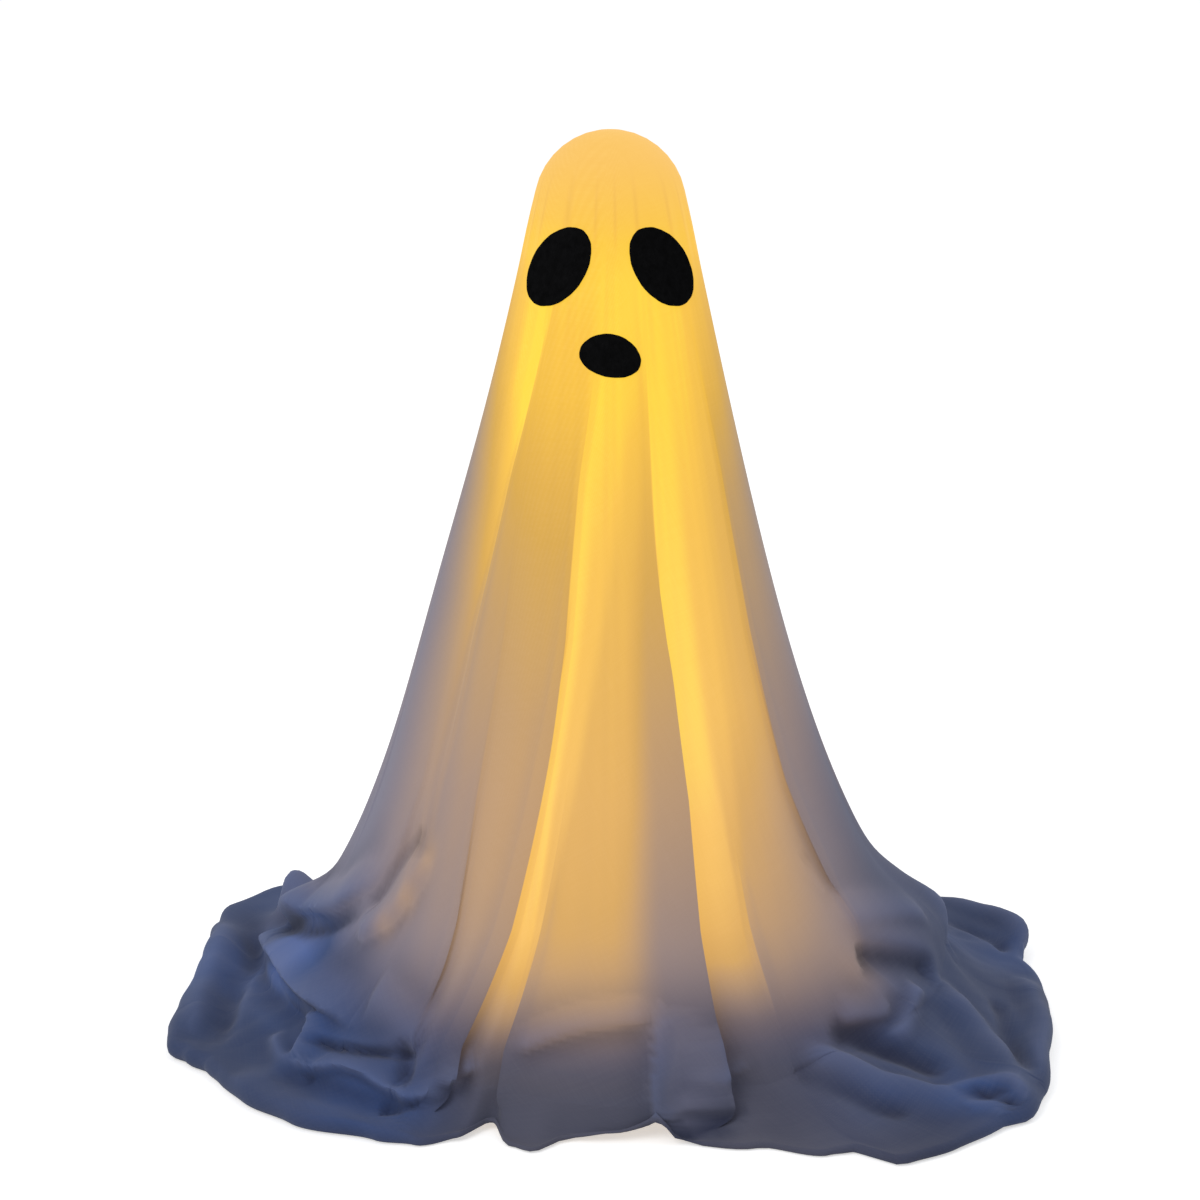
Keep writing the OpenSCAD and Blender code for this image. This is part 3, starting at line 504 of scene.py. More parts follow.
def spanLight(index, z, leftGap, rightGap):
    # share of the light that comes through a panel, this far from the pleats on its left and right
    light = panelLight(index, z)
    for edge, neighbour, gap in ((index, index - 1, leftGap), (index + 1, index + 1, rightGap)):
        reach, soft = panelBlend(edge, z)
        soft = soft * (1 - step(0, 1, gap / np.maximum(reach, 0.01)))
        light = light + soft * (panelLight(neighbour, z) - panelLight(index, z))
    if pleats[index].front > 0:
        light *= lipLight(index, z, leftGap)
    if pleats[(index + 1) % len(pleats)].front < 0:
        light *= lipLight(index + 1, z, rightGap)
    return light


def clothGlow(points, shares):
    z, angle = points[..., 2], sideAngle(points)
    left, right = (np.interp(z, lamp["reachHeights"], lamp[side]) for side in ("leftReach", "rightReach"))
    front = np.exp(-(np.abs(angle) / np.where(angle < 0, left, right)) ** 4)
    behind = np.exp(-((180 - np.abs(angle)) / (lamp["behindReach"] * left)) ** 4)
    behind *= lamp["behind"] + (1 - lamp["behind"]) * step(*lamp["crownHeights"], z)
    level = np.interp(z, lamp["heights"], lamp["levels"]) * np.maximum(front, behind)
    level *= 1 - step(*lamp["poolShares"], shares)
    for i, (index, lapPoint, across) in enumerate(clothColumns()):
        zRow = np.clip(z[i], *lamp["panelSpan"])
        if lapPoint is not None:
            level[i] *= lapLight(index, lapPoint, zRow)
            continue
        following = pleats[(index + 1) % len(pleats)]
        turn = np.radians((pleatLine(following, zRow) - pleatLine(pleats[index], zRow)) % 360)
        width = turn * np.hypot(points[i, :, 0], points[i, :, 1])
        level[i] *= spanLight(index, zRow, across * width, (1 - across) * width)
    for patch in glowPatches:
        level += swell(angle, z, patch)
    streaks = np.sin(1.1 * angle + 2 * np.sin(0.31 * angle) + 0.004 * z)
    streaks += 0.7 * np.sin(0.53 * angle + 1.3 - 0.006 * z)
    rucks = np.maximum(np.sin(0.33 * angle + 1.6 * np.sin(0.09 * angle)), 0) ** 8
    rucks *= np.exp(-((z - lamp["ruckHeight"]) / lamp["ruckReach"]) ** 2)
    level *= 1 + lamp["streaks"] * streaks * step(*lamp["streakHeights"], z)
    return level * (1 - lamp["rucks"] * rucks)


# folds of the lower skirt and the pool: points seen from above, height, width on the left and on the right
# of the way it runs, and how far its crest leans to the right; a minus height is a hollow
poolFolds = [
    # left: the flap with its ear, the slot under it, the shelf and the valley round it
    (((-207, 141), (-220, 134), (-233, 124)), 37, 27, 25, 0),
    (((-214, 130), (-212, 80), (-205, 35), (-196, -2)), 14, 34, 12, 3),
    (((-218, 75), (-210, 38), (-199, -3), (-182, -42), (-167, -58), (-146, -76)), 10, 30, 9, 6),
    (((-222, 58), (-210, -4), (-193, -42), (-178, -60), (-157, -80)), -5, 9, 10, 0),
    (((-240, 90), (-234, 45), (-223, -6), (-213, -44), (-201, -74), (-188, -94), (-175, -111), (-159, -130)),
     12, 32, 9, 5),
    (((-256, 128), (-247, 56), (-235, -24), (-220, -62), (-205, -88), (-192, -108), (-180, -121)),
     -7, 8, 18, 0),
    (((-262, 177), (-260, 138), (-257, 68), (-257, 10), (-258, -29), (-259, -60), (-258, -92)),
     -8, 14, 20, 0),
    (((-272, 140), (-276, 43), (-278, -16), (-279, -69)), 8, 20, 20, 0),
    # left: the slanting fold on the skirt above the flap
    (((-113, -96), (-120, -100), (-128, -102), (-135, -101), (-145, -97), (-155, -91), (-166, -85)),
     7, 10, 20, 0),
    (((-119, -87), (-131, -83), (-142, -80), (-152, -79), (-163, -77)), -5, 12, 9, 0),
    # left: small upright folds, the zigzag edge and the hollows along it
    (((-191, -96), (-197, -110), (-204, -126)), 8, 20, 8, 3),
    (((-220, -87), (-216, -104), (-207, -124), (-191, -135)), 7, 9, 12, 0),
    (((-205, -127), (-192, -135), (-176, -140), (-165, -146), (-153, -154), (-142, -163), (-126, -172),
      (-118, -173), (-99, -168), (-77, -168)), 9, 16, 6, 3),
    (((-216, -124), (-185, -147), (-164, -161), (-137, -177), (-120, -184)), -5, 8, 26, 0),
    (((-200, -108), (-180, -125), (-168, -134), (-149, -144), (-122, -155)), -7, 6, 6, 0),
    (((-131, -144), (-131, -168)), -6, 10, 10, 0),
    (((-148, -176), (-134, -176), (-118, -176)), -4, 12, 6, 0),
    (((-153, -118), (-133, -138), (-117, -153)), 6, 26, 26, 0),
    (((-247, -119), (-181, -177), (-119, -195)), 4, 24, 22, 0),
    # front: the crease and the flap with its turned hem
    (((-66, -167), (-58, -168), (-17, -166), (21, -164), (30, -163)), 6, 16, 6, 2),
    (((-62, -171), (-17, -169), (23, -167)), -2, 6, 14, 0),
    (((30, -158), (28, -170), (26, -184), (28, -198)), 6, 24, 6, 2),
    (((68, -158), (75, -176), (83, -187)), 4, 7, 18, 0),
    (((34, -190), (58, -177), (92, -168)), 3, 12, 6, 1),
    (((40, -200), (64, -189), (90, -184)), -4, 7, 10, 0),
    # right: the roll behind, the sweep of the skirt and its hollows
    (((242, 180), (264, 152), (283, 136), (294, 113), (296, 88)), 10, 15, 12, 0),
    (((244, 128), (262, 114), (276, 98), (284, 76)), -6, 9, 9, 0),
    (((205, 120), (216, 60), (224, 26), (232, 18), (243, 8)), 7, 9, 30, -4),
    (((148, -95), (159, -82), (176, -61), (200, -30), (217, -15)), 5, 26, 10, 2),
    (((158, -99), (180, -82), (199, -66), (220, -44)), -10, 12, 26, 0),
    (((146, -132), (151, -129), (171, -115), (184, -104)), 5, 20, 9, 3),
    (((138, -142), (162, -132), (186, -131), (206, -134), (220, -138)), -8, 18, 13, 0),
    (((202, -74), (192, -104), (182, -125)), 7, 14, 9, 0),
    # right: the light ridge, the outer rolls and the lobes at the corner
    (((120, -152), (139, -150), (158, -152), (173, -155), (190, -157), (210, -161), (224, -147)),
     8, 9, 32, -2),
    (((115, -160), (140, -166), (167, -176), (190, -186)), -4, 12, 14, 0),
    (((222, -40), (228, -52), (244, -74), (257, -107), (262, -145), (264, -165)), 8, 18, 28, 0),
    (((264, -12), (268, -73), (272, -129)), -5, 10, 12, 0),
    (((288, 40), (289, 9), (290, -38), (283, -86), (272, -142)), 7, 14, 16, 0),
    (((216, -152), (222, -151), (237, -145), (252, -143), (261, -154), (264, -170)), 6, 8, 11, 0),
    (((226, -149), (239, -155), (250, -155), (255, -163), (257, -174)), -5, 6, 6, 0),
    (((224, -174), (244, -168), (249, -179)), 5, 7, 12, 0),
    # small crumples on the right
    (((117, -97), (122, -92), (126, -94), (138, -88), (146, -84)), 2, 3, 4, 0),
    (((124, -90), (130, -90), (134, -82)), -2, 3, 3, 0),
    # behind
    (((-150, 205), (-90, 232), (-30, 236), (30, 246)), 12, 26, 6, 6),
    (((-160, 190), (-92, 220), (-30, 224), (30, 232)), -7, 10, 14, 0),
    (((-222, 196), (-180, 252), (-120, 282)), 9, 12, 14, 0),
    (((-60, 262), (0, 284), (70, 276), (120, 262)), 10, 10, 16, 0),
    (((90, 214), (150, 220), (190, 208), (214, 176)), 9, 8, 22, -4),
    (((110, 240), (160, 246), (206, 230)), -7, 10, 10, 0),
    (((-20, 206), (-10, 250), (10, 290)), 6, 16, 8, 3),
]

# which points the folds move, how often the cloth's grid is averaged, and small crumples all over the pool
crease = {
    "top": 190, "rim": 0.999, "taper": 0.18, "hemFade": 0.8, "hemShares": (0.8, 1.0),
    "normalTimes": 120, "hollowTimes": 40, "backTimes": 8, "backAngles": (100, 125),
    "crumpleHeights": (130, 40),
    "crumples": [
        {"size": 1.5, "across": (0.071, 1.7, 0.043), "along": (0.063, 1.3, 0.052), "phase": 1.0},
        {"size": 0.25, "across": (0.16, 2.1, 0.11), "along": (0.19, 1.1, 0.13), "phase": 0.0},
    ],
}


def foldPath(marks, spacing=3.0):
    # a smooth curve through the points
    marks = np.array([marks[0], *marks, marks[-1]], float)
    path = []
    for a, b, c, d in zip(marks, marks[1:], marks[2:], marks[3:]):
        t = np.linspace(0, 1, max(2, int(np.hypot(*(c - b)) / spacing)), endpoint=False)[:, None]
        bend = 2 * a - 5 * b + 4 * c - d
        twist = 3 * b - a - 3 * c + d
        path.append(0.5 * (2 * b + (c - a) * t + bend * t ** 2 + twist * t ** 3))
    return np.concatenate(path + [marks[-1:]])


def evened(values, window=9):
    # running mean along a path
    padded = np.pad(values, window // 2, mode="edge")
    return np.convolve(padded, np.ones(window) / window, "valid")


def smoothed(values, times):
    # average with the neighbours on the cloth's own grid
    for turn in range(times):
        around = 0.5 * (np.roll(values, 1, 0) + np.roll(values, -1, 0))
        padded = np.concatenate([values[:, :1], values, values[:, -1:]], 1)
        along = 0.5 * (padded[:, :-2] + padded[:, 2:])
        values = 0.25 * around + 0.25 * along + 0.5 * values
    return values


def clothNormals(points):
    around = np.roll(points, -1, 0) - np.roll(points, 1, 0)
    normal = np.cross(np.gradient(points, axis=1), around)
    return normal / np.maximum(np.linalg.norm(normal, axis=2, keepdims=True), 1e-9)


def ripple(values, x, y):
    pitch, sway, swayPitch = values["across"]
    waves = np.sin(x * pitch + sway * np.sin(y * swayPitch))
    pitch, sway, swayPitch = values["along"]
    return values["size"] * waves * np.sin(y * pitch + sway * np.sin(x * swayPitch + values["phase"]))


def foldShare(marks, leftWidth, rightWidth, spots, facing):
    # the points near one fold, the share of it that each takes, and the way to the fold's left there
    path = foldPath(marks)
    under = np.argmin(((path[:, None, :] - spots[None, :, :2]) ** 2).sum(-1), 1)
    path = np.column_stack([path, evened(spots[under, 2])])
    run = np.gradient(path, axis=0)
    run /= np.maximum(np.linalg.norm(run, axis=1, keepdims=True), 1e-6)
    reach = max(leftWidth, rightWidth)
    near = np.where(((spots > path.min(0) - reach) & (spots < path.max(0) + reach)).all(1))[0]
    gap = np.linalg.norm(spots[near][:, None] - path[None], axis=2)
    nearest = gap.argmin(1)
    left = np.cross(facing[near], run[nearest])
    side = ((spots[near] - path[nearest]) * left).sum(1)
    share = np.clip(gap.min(1) / np.where(side > 0, leftWidth, rightWidth), 0, 1)
    along = nearest / (len(path) - 1)
    ends = step(0, crease["taper"], along) * step(0, crease["taper"], 1 - along)
    return near, (1 - share) ** 2 * (1 + 2 * share) * ends, left


def creaseCloth(points, plain, shares):
    # how far the folds move each point, and how far it then lies below the cloth around it
    normals = clothNormals(smoothed(points, crease["normalTimes"]))
    low = (points[..., 2] < crease["top"]) & (shares < crease["rim"])
    spots, facing = plain[low], normals[low]
    fade = 1 - crease["hemFade"] * step(*crease["hemShares"], shares[low])
    shift, lift = np.zeros_like(spots), np.zeros(len(spots))
    for marks, height, leftWidth, rightWidth, lean in poolFolds:
        near, amount, left = foldShare(marks, leftWidth, rightWidth, spots, facing)
        amount = amount * fade[near]
        shift[near] += amount[:, None] * (height * facing[near] - lean * left)
        lift[near] += amount * height
    moved, rise = np.zeros_like(points), np.zeros(points.shape[:2])
    moved[low] = shift
    rise[low] = lift
    # the columns stand wider apart behind, so the folds are softer there
    behind = step(*crease["backAngles"], np.abs(sideAngle(plain)))
    moved += behind[..., None] * (smoothed(moved, crease["backTimes"]) - moved)
    rise += behind * (smoothed(rise, crease["backTimes"]) - rise)
    crumple = sum(ripple(values, plain[..., 0], plain[..., 1]) for values in crease["crumples"])
    crumple *= step(*crease["crumpleHeights"], points[..., 2]) * (1 - shares ** 4)
    moved += crumple[..., None] * normals
    return smoothed(moved, 1), smoothed(rise, crease["hollowTimes"]) - rise


# blue light from the room on the pool: place seen from above, radius, strength
bluePatches = [
    (-213, -20, 22, 0.9), (-203, -48, 24, 0.8), (-190, -72, 24, 0.2), (-186, -116, 26, 0.35),
    (-264, 50, 60, 0.55), (-140, -182, 34, 0.45), (-175, -165, 26, 0.4), (232, -160, 26, 0.5),
    (176, -176, 30, 0.15), (292, 70, 40, 0.3), (215, 60, 34, 0.25), (-60, 270, 60, 0.3),
    (150, 230, 60, 0.3), (-210, 200, 50, 0.25)]
# painted room light, paler where a flap lies on top, in the same way
palePatches = [(54, -176, 21, 0.7), (-216, 126, 26, 0.8)]
# places on the pool that lie in shade, in the same way
dimPatches = [
    (-165, -200, 45, 0.4), (-95, -205, 30, 0.25), (200, -215, 45, 0.6), (-245, -70, 30, 0.2),
    (270, 0, 45, 0.25), (43, -200, 11, 0.8), (68, -195, 11, 0.8), (112, -190, 30, 0.25),
    (166, -118, 14, 0.2), (192, -152, 30, 0.22), (262, -125, 24, 0.2)]

# where the painted room light and dusk shade on the cloth begin and end, by height or angle; a hollow this
# deep is painted darkest
tones = {
    "hollowDepth": 7, "blueHeights": (115, 75), "bodyHeights": (35, 120),
    "duskAngles": (55, 85), "duskEnds": (120, 165), "duskHeights": (330, 110), "dusk": 0.8,
    "frontAngles": (60, 30), "frontBody": 0.2, "greyAngles": (48, 26), "greyHeights": (60, 30),
}


def roundShare(x, y, radius):
    return np.exp(-((form[..., 0] - x) ** 2 + (form[..., 1] - y) ** 2) / radius ** 2)


def patchSum(patches):
    return sum(strength * roundShare(x, y, radius) for x, y, radius, strength in patches)


# painted room light: lavender on the body above the pool, painted dusk shade on the right flank, some
# lavender at the front, greyer low at the front, and paler where a flap lies on top
def bodyAndGrey(points):
    side, z = sideAngle(points), points[..., 2]
    dusk = step(*tones["duskAngles"], side) * (1 - step(*tones["duskEnds"], side))
    dusk = dusk * step(*tones["duskHeights"], z)
    body = step(*tones["bodyHeights"], z) * (1 - tones["dusk"] * dusk)
    body = np.maximum(body, tones["frontBody"] * step(*tones["frontAngles"], np.abs(side)))
    grey = step(*tones["greyAngles"], np.abs(side)) * step(*tones["greyHeights"], z)
    for x, y, radius, strength in palePatches:
        pale = roundShare(x, y, radius)
        body = np.maximum(body, strength * pale)
        grey = grey * (1 - pale)
    return body, grey


def clothFaces(count, rows):
    def at(i, j):
        return (i % count) * rows + j

    faces = [(at(i, j), at(i, j + 1), at(i + 1, j + 1), at(i + 1, j))
             for i in range(count) for j in range(rows - 1)]
    return faces + [(at(i, 0), at(i + 1, 0), count * rows) for i in range(count)]


def flatCut(points, top):
    # the flat cut as a UV map in metres: distance from the crown, and place round the sewn sector
    count, rows = points.shape[:2]
    lengths = np.linalg.norm(np.diff(points, axis=1), axis=2).mean(0)
    reach = np.concatenate([[0], np.cumsum(lengths)]) + np.linalg.norm(points[:, 0] - top, axis=1).mean()
    reach = reach * mm
    width = np.linalg.norm(np.roll(points, -1, 0) - points, axis=2)[:, rows - cloth["poolRows"]]
    turn = np.radians(cloth["flatAngle"]) * np.concatenate([[0], np.cumsum(width)]) / width.sum()
    corners = []
    for i in range(count):
        for j in range(rows - 1):
            corners += [(reach[j], turn[i]), (reach[j + 1], turn[i])]
            corners += [(reach[j + 1], turn[i + 1]), (reach[j], turn[i + 1])]
    for i in range(count):
        corners += [(reach[0], turn[i]), (reach[0], turn[i + 1]), (0, turn[i])]
    away, turned = np.array(corners).T
    return np.stack([away * np.sin(turned), away * np.cos(turned)], -1)


def singles(values):
    return values.astype(np.float32).ravel()


def buildCloth():
    count, rows = form.shape[:2]
    share = np.clip((np.arange(rows) + 1 - rows + cloth["poolRows"]) / cloth["poolRows"], 0, 1)
    shares = np.tile(share, (count, 1))                            # how far out on the floor each point lies
    glow = clothGlow(form, shares)
    moved, hollow = creaseCloth(form, plainForm, shares)
    # painted shade in hollows and in the shaded places, and a painted highlight on crests where it is below
    # zero
    hollow = np.clip(hollow / tones["hollowDepth"] + patchSum(dimPatches), -1, 1)
    # painted blue light of the room on the pool
    blue = np.clip(patchSum(bluePatches), 0, 1) * step(*tones["blueHeights"], form[..., 2])
    points = form + moved
    points[..., 2] = np.maximum(points[..., 2], cloth["thickness"])
    top = np.array([0, 0, clothTop])
    mesh = bpy.data.meshes.new("clothCover")
    mesh.from_pydata((np.vstack([points.reshape(-1, 3), top]) * mm).tolist(), [], clothFaces(count, rows))
    # painted light on the cloth: the lamp's glow, the room's blue, the lavender body with its painted dusk
    # shade, and the greyer front
    paintedLight = np.stack([glow, blue, *bodyAndGrey(points)], -1).reshape(-1, 4)
    paintedLight = np.vstack([paintedLight, [glow[:, 0].mean(), 0, 1, 0]])
    mesh.attributes.new("clothTint", "FLOAT_COLOR", "POINT").data.foreach_set("color", singles(paintedLight))
    hollow = np.append(hollow, 0)
    mesh.attributes.new("clothHollow", "FLOAT", "POINT").data.foreach_set("value", singles(hollow))
    mesh.uv_layers.new(name="cut").data.foreach_set("uv", singles(flatCut(points, top)))
    piece = bpy.data.objects.new("clothCover", mesh)
    bpy.context.scene.collection.objects.link(piece)
    pick(piece)
    bpy.ops.object.mode_set(mode="EDIT")
    bpy.ops.mesh.select_all(action="SELECT")
    bpy.ops.mesh.normals_make_consistent(inside=False)
    bpy.ops.object.mode_set(mode="OBJECT")
    thick = piece.modifiers.new("thickness", "SOLIDIFY")
    thick.thickness = cloth["thickness"] * mm
    thick.offset = -1
    bpy.ops.object.modifier_apply(modifier=thick.name)
    bpy.ops.object.shade_smooth_by_angle(angle=math.radians(cloth["smoothAngle"]))
    return piece


# the voile's colours: slate, grey, lavender and the blues paint the room's dusk light on the voile; hollow is
# painted shade, crest a painted highlight and lit the lamp's light; thread is the weave
voileColours = {
    "slate": rgb(0.046, 0.06, 0.12), "slateDrift": rgb(0.026, 0.05, 0.135), "grey": rgb(0.05, 0.052, 0.075),
    "lavender": rgb(0.24, 0.215, 0.265), "lavenderDrift": rgb(0.19, 0.195, 0.29),
    "deepBlue": rgb(0.038, 0.078, 0.222), "paleBlue": rgb(0.088, 0.145, 0.37),
    "hollow": rgb(0.014, 0.019, 0.05), "crest": rgb(0.11, 0.142, 0.275),
    "lit": rgb(0.10, 0.07, 0.03), "thread": rgb(0.3, 0.3, 0.34),
}
# pitch and depth of the weave in metres, its slubs per metre, and how much it shows in the light
voileWeave = {"pitch": 0.0011, "depth": 0.00012, "slub": 700, "slubLength": 18, "level": 0.985, "light": 0.03}
# heights in metres where the light turns yellower and, at the crown, paler again
voileLight = {
    "lowBlue": 1.0, "highBlue": 0.3, "high": 0.2, "highReach": 0.25,
    "crown": 0.545, "crownReach": 0.05, "crownShare": 0.75,
}


def lampTones(blue):
    # colour of the light through the cloth by its level; low down more blue comes through with it
    stops = [(0.0, (0, 0, 0)), (0.25, (0.21, 0.122, 0.055)), (0.5, (0.45, 0.252, 0.09)),
             (0.75, (0.7, 0.385, 0.1)), (0.9, (0.88, 0.5, 0.11)), (1.0, (0.96, 0.67, 0.11))]
    return [(level, (red, green, blue * rest)) for level, (red, green, rest) in stops]


def voile():
    finish = Finish("voile")
    # painted light of the lamp and the room, read from the cloth's points
    paintedLight = finish.attribute("clothTint", "Color")
    glow, blue, body = (finish.node("ShaderNodeSeparateColor", None, {0: paintedLight}, part)
                        for part in ("Red", "Green", "Blue"))
    grey = finish.attribute("clothTint", "Alpha")
    hollow = finish.attribute("clothHollow", "Fac")
    cut = finish.place("UV")
    turns = 2 * math.pi / voileWeave["pitch"]
    threads = (finish.along(cut, "X") * turns).wave() * (finish.along(cut, "Y") * turns).wave()
    slub, slubLength = voileWeave["slub"], voileWeave["slubLength"]
    slubs = (finish.noise(finish.scaled(cut, (slub, slubLength, 1)), 1.0)
             + finish.noise(finish.scaled(cut, (slubLength, slub, 1)), 1.0))
    weave = 0.5 + 0.25 * threads + 0.5 * (slubs - 1.0)
    cloud = finish.noise(finish.place(), 9.0, 3.0)
    # painted room light: slate on the pool, lavender on the body, greyer at the front
    slate = finish.blend(cloud, voileColours["slate"], voileColours["slateDrift"])
    slate = finish.blend(grey * 0.8, slate, voileColours["grey"])
    lavender = finish.blend(cloud, voileColours["lavender"], voileColours["lavenderDrift"])
    base = finish.blend(body, slate, lavender)
    # painted light in the base colour: the room's blue, painted shade in hollows, a painted highlight on
    # crests and the lamp's light; then the weave's threads
    for colour, share in (("deepBlue", (blue * 2.0).clamped()), ("paleBlue", (blue * 2.0 - 1.0).clamped()),
                          ("hollow", (hollow * 0.9).clamped()), ("crest", (hollow * -0.75).clamped()),
                          ("lit", (glow * 1.5).clamped()), ("thread", (weave - 0.4) * 0.14)):
        base = finish.blend(share, base, voileColours[colour])
    # the lamp's light through the cloth, with painted shade in the hollows
    level = glow * (voileWeave["level"] + voileWeave["light"] * weave) * (1.0 - 0.7 * hollow.clamped())
    height = finish.along(finish.place(), "Z")
    high = ((height - voileLight["high"]) / voileLight["highReach"]).clamped()
    crown = ((height - voileLight["crown"]) / voileLight["crownReach"]).clamped()
    high = high - voileLight["crownShare"] * crown
    light = finish.blend(high, finish.ramp(level, lampTones(voileLight["lowBlue"])),
                         finish.ramp(level, lampTones(voileLight["highBlue"])))
    return finish.surface(Base_Color=base, Emission_Color=light, Emission_Strength=1.0, Roughness=0.9,
                          Normal=finish.bump(weave, voileWeave["depth"], 0.35), Sheen_Weight=0.1,
                          Sheen_Roughness=0.6, Specular_IOR_Level=0.2)


cover = buildCloth()
cover.data.materials.append(voile())
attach(cover, "cover")
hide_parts("cloth_cover")
print("cloth:", len(cover.data.polygons), "faces")


# felt eyes and mouth, laid on the cloth

feltPieces = {
    "leftEyeFelt": {"node": "left_eye", "turn": -36, "drop": 80, "width": 40, "height": 58, "tilt": -40},
    "rightEyeFelt": {"node": "right_eye", "turn": 36, "drop": 80, "width": 40, "height": 58, "tilt": 40},
    "mouthFelt": {"node": "mouth", "turn": 0, "drop": 133, "width": 39, "height": 27, "tilt": -13},
}
felt = {
    "egg": 0.1, "lift": 0.3, "thickness": 1.2, "edge": 0.35, "edgeSteps": 3, "sharpAngle": 50,
    "rings": 12, "segments": 72, "coarseFray": 0.004, "fineFray": 0.003,
}


def feltPoint(values, t, share):
    # a point of a patch at angle t and this share of the way out to its edge, wrapped round the skirt
    frayed = 1 + felt["coarseFray"] * math.sin(11 * t + values["turn"]) + felt["fineFray"] * math.sin(23 * t)
    x = values["width"] / 2 * math.cos(t) * (1 - felt["egg"] * math.sin(t)) * frayed * share
    y = values["height"] / 2 * math.sin(t) * frayed * share
    tilt = math.radians(values["tilt"])
    x, y = x * math.cos(tilt) - y * math.sin(tilt), x * math.sin(tilt) + y * math.cos(tilt)
    middle = clothTop - values["drop"]
    z = middle + y * math.sin(crownTurn)
    angle = math.radians(values["turn"]) + x / float(skirtRadius(values["turn"], middle))
    out = float(skirtRadius(math.degrees(angle), z)) + felt["lift"] * math.sin(crownTurn)
    z += felt["lift"] * math.cos(crownTurn)
    return (out * math.sin(angle) * mm, -out * math.cos(angle) * mm, z * mm)


def feltPatch(name, values):
    rings, count = felt["rings"], felt["segments"]
    verts = [feltPoint(values, 0.0, 0.0)]
    verts += [feltPoint(values, 2 * math.pi * k / count, ring / rings)
              for ring in range(1, rings + 1) for k in range(count)]
    faces = []
    for k in range(count):
        following = (k + 1) % count
        faces.append((0, 1 + k, 1 + following))
        for first in range(1, 1 + (rings - 1) * count, count):
            second = first + count
            faces.append((first + k, second + k, second + following, first + following))
    mesh = bpy.data.meshes.new(name)
    mesh.from_pydata(verts, [], faces)
    piece = bpy.data.objects.new(name, mesh)
    bpy.context.scene.collection.objects.link(piece)
    pick(piece)
    sharp = math.radians(felt["sharpAngle"])
    for kind, settings in (
            ("SOLIDIFY", {"thickness": felt["thickness"] * mm, "offset": 1}),
            ("BEVEL", {"width": felt["edge"] * mm, "segments": felt["edgeSteps"], "angle_limit": sharp})):
        modifier = piece.modifiers.new(kind.lower(), kind)
        for key, value in settings.items():
            setattr(modifier, key, value)
        bpy.ops.object.modifier_apply(modifier=modifier.name)
    bpy.ops.object.shade_smooth_by_angle(angle=sharp)
    return piece


def blackFelt():
    finish = Finish("blackFelt")
    where = finish.place()
    fibres = finish.noise(finish.scaled(where, (1, 1, 0.35)), 1400.0, 4.0, 0.7)
    matted = finish.noise(where, 220.0, 3.0)
    tone = finish.blend(fibres * matted, rgb(0.002, 0.002, 0.002), rgb(0.012, 0.012, 0.013))
    return finish.surface(Base_Color=tone, Roughness=1.0, Specular_IOR_Level=0.0,
                          Normal=finish.bump(fibres + 0.6 * matted, 0.0002, 0.6))


feltFinish = blackFelt()
for name, values in feltPieces.items():
    piece = feltPatch(name, values)
    piece.data.materials.append(feltFinish)
    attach(piece, "cover")
    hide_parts(values["node"])
print("felt pieces:", len(feltPieces))


# finishes of the stand, the lamp and the battery base

def speckled(name, colour, shade, scale, depth, rough, **more):
    # moulded and painted surfaces: fine texture, slow colour drift, uneven gloss
    finish = Finish(name)
    where = finish.place()
    fine = finish.noise(where, scale, 3.0, 0.6)
    slow = finish.noise(where, 22.0, 3.0)
    tone = finish.blend((0.7 * slow + 0.3 * fine).clamped(), rgb(*colour), rgb(*shade))
    return finish.surface(Base_Color=tone, Roughness=rough + 0.12 * (slow - 0.5) + 0.08 * (fine - 0.5),
                          Normal=finish.bump(fine, depth, 0.7), **more)


def platedMetal(name, colour, shade, stretch):
    # rolled and plated metal: fine lines one way, and blotches
    finish = Finish(name)
    where = finish.place()
    lines = finish.noise(finish.scaled(where, stretch), 1.0, 3.0, 0.6)
    blotch = finish.noise(where, 160.0, 3.0)
    tone = finish.blend((0.6 * lines + 0.4 * blotch).clamped(), rgb(*colour), rgb(*shade))
    return finish.surface(Base_Color=tone, Metallic=1.0, Roughness=0.24 + 0.2 * lines + 0.1 * blotch,
                          Normal=finish.bump(lines, 0.00003, 0.5))


dome = {"foot": 0.452, "sharesPerMetre": 6.4, "drift": 0.05, "strength": 0.7}
domeLight = [(0.0, (0.42, 0.24, 0.06)), (0.15, (0.95, 0.6, 0.16)), (0.5, (1.0, 0.72, 0.24)),
             (0.85, (1.0, 0.66, 0.2)), (1.0, (0.92, 0.56, 0.16))]


def frostedDome():
    finish = Finish("frostedDome")
    where = finish.place()
    frost = finish.noise(where, 1600.0, 2.0)
    share = (finish.along(where, "Z") - dome["foot"]) * dome["sharesPerMetre"]
    share = (share + dome["drift"] * (finish.noise(where, 40.0) - 0.5)).clamped()
    tone = finish.blend(frost, rgb(0.5, 0.46, 0.38), rgb(0.56, 0.52, 0.43))
    return finish.surface(Base_Color=tone, Emission_Color=finish.ramp(share, domeLight),
                          Emission_Strength=dome["strength"], Roughness=0.5 + 0.15 * frost,
                          Normal=finish.bump(frost, 0.00006, 0.6))


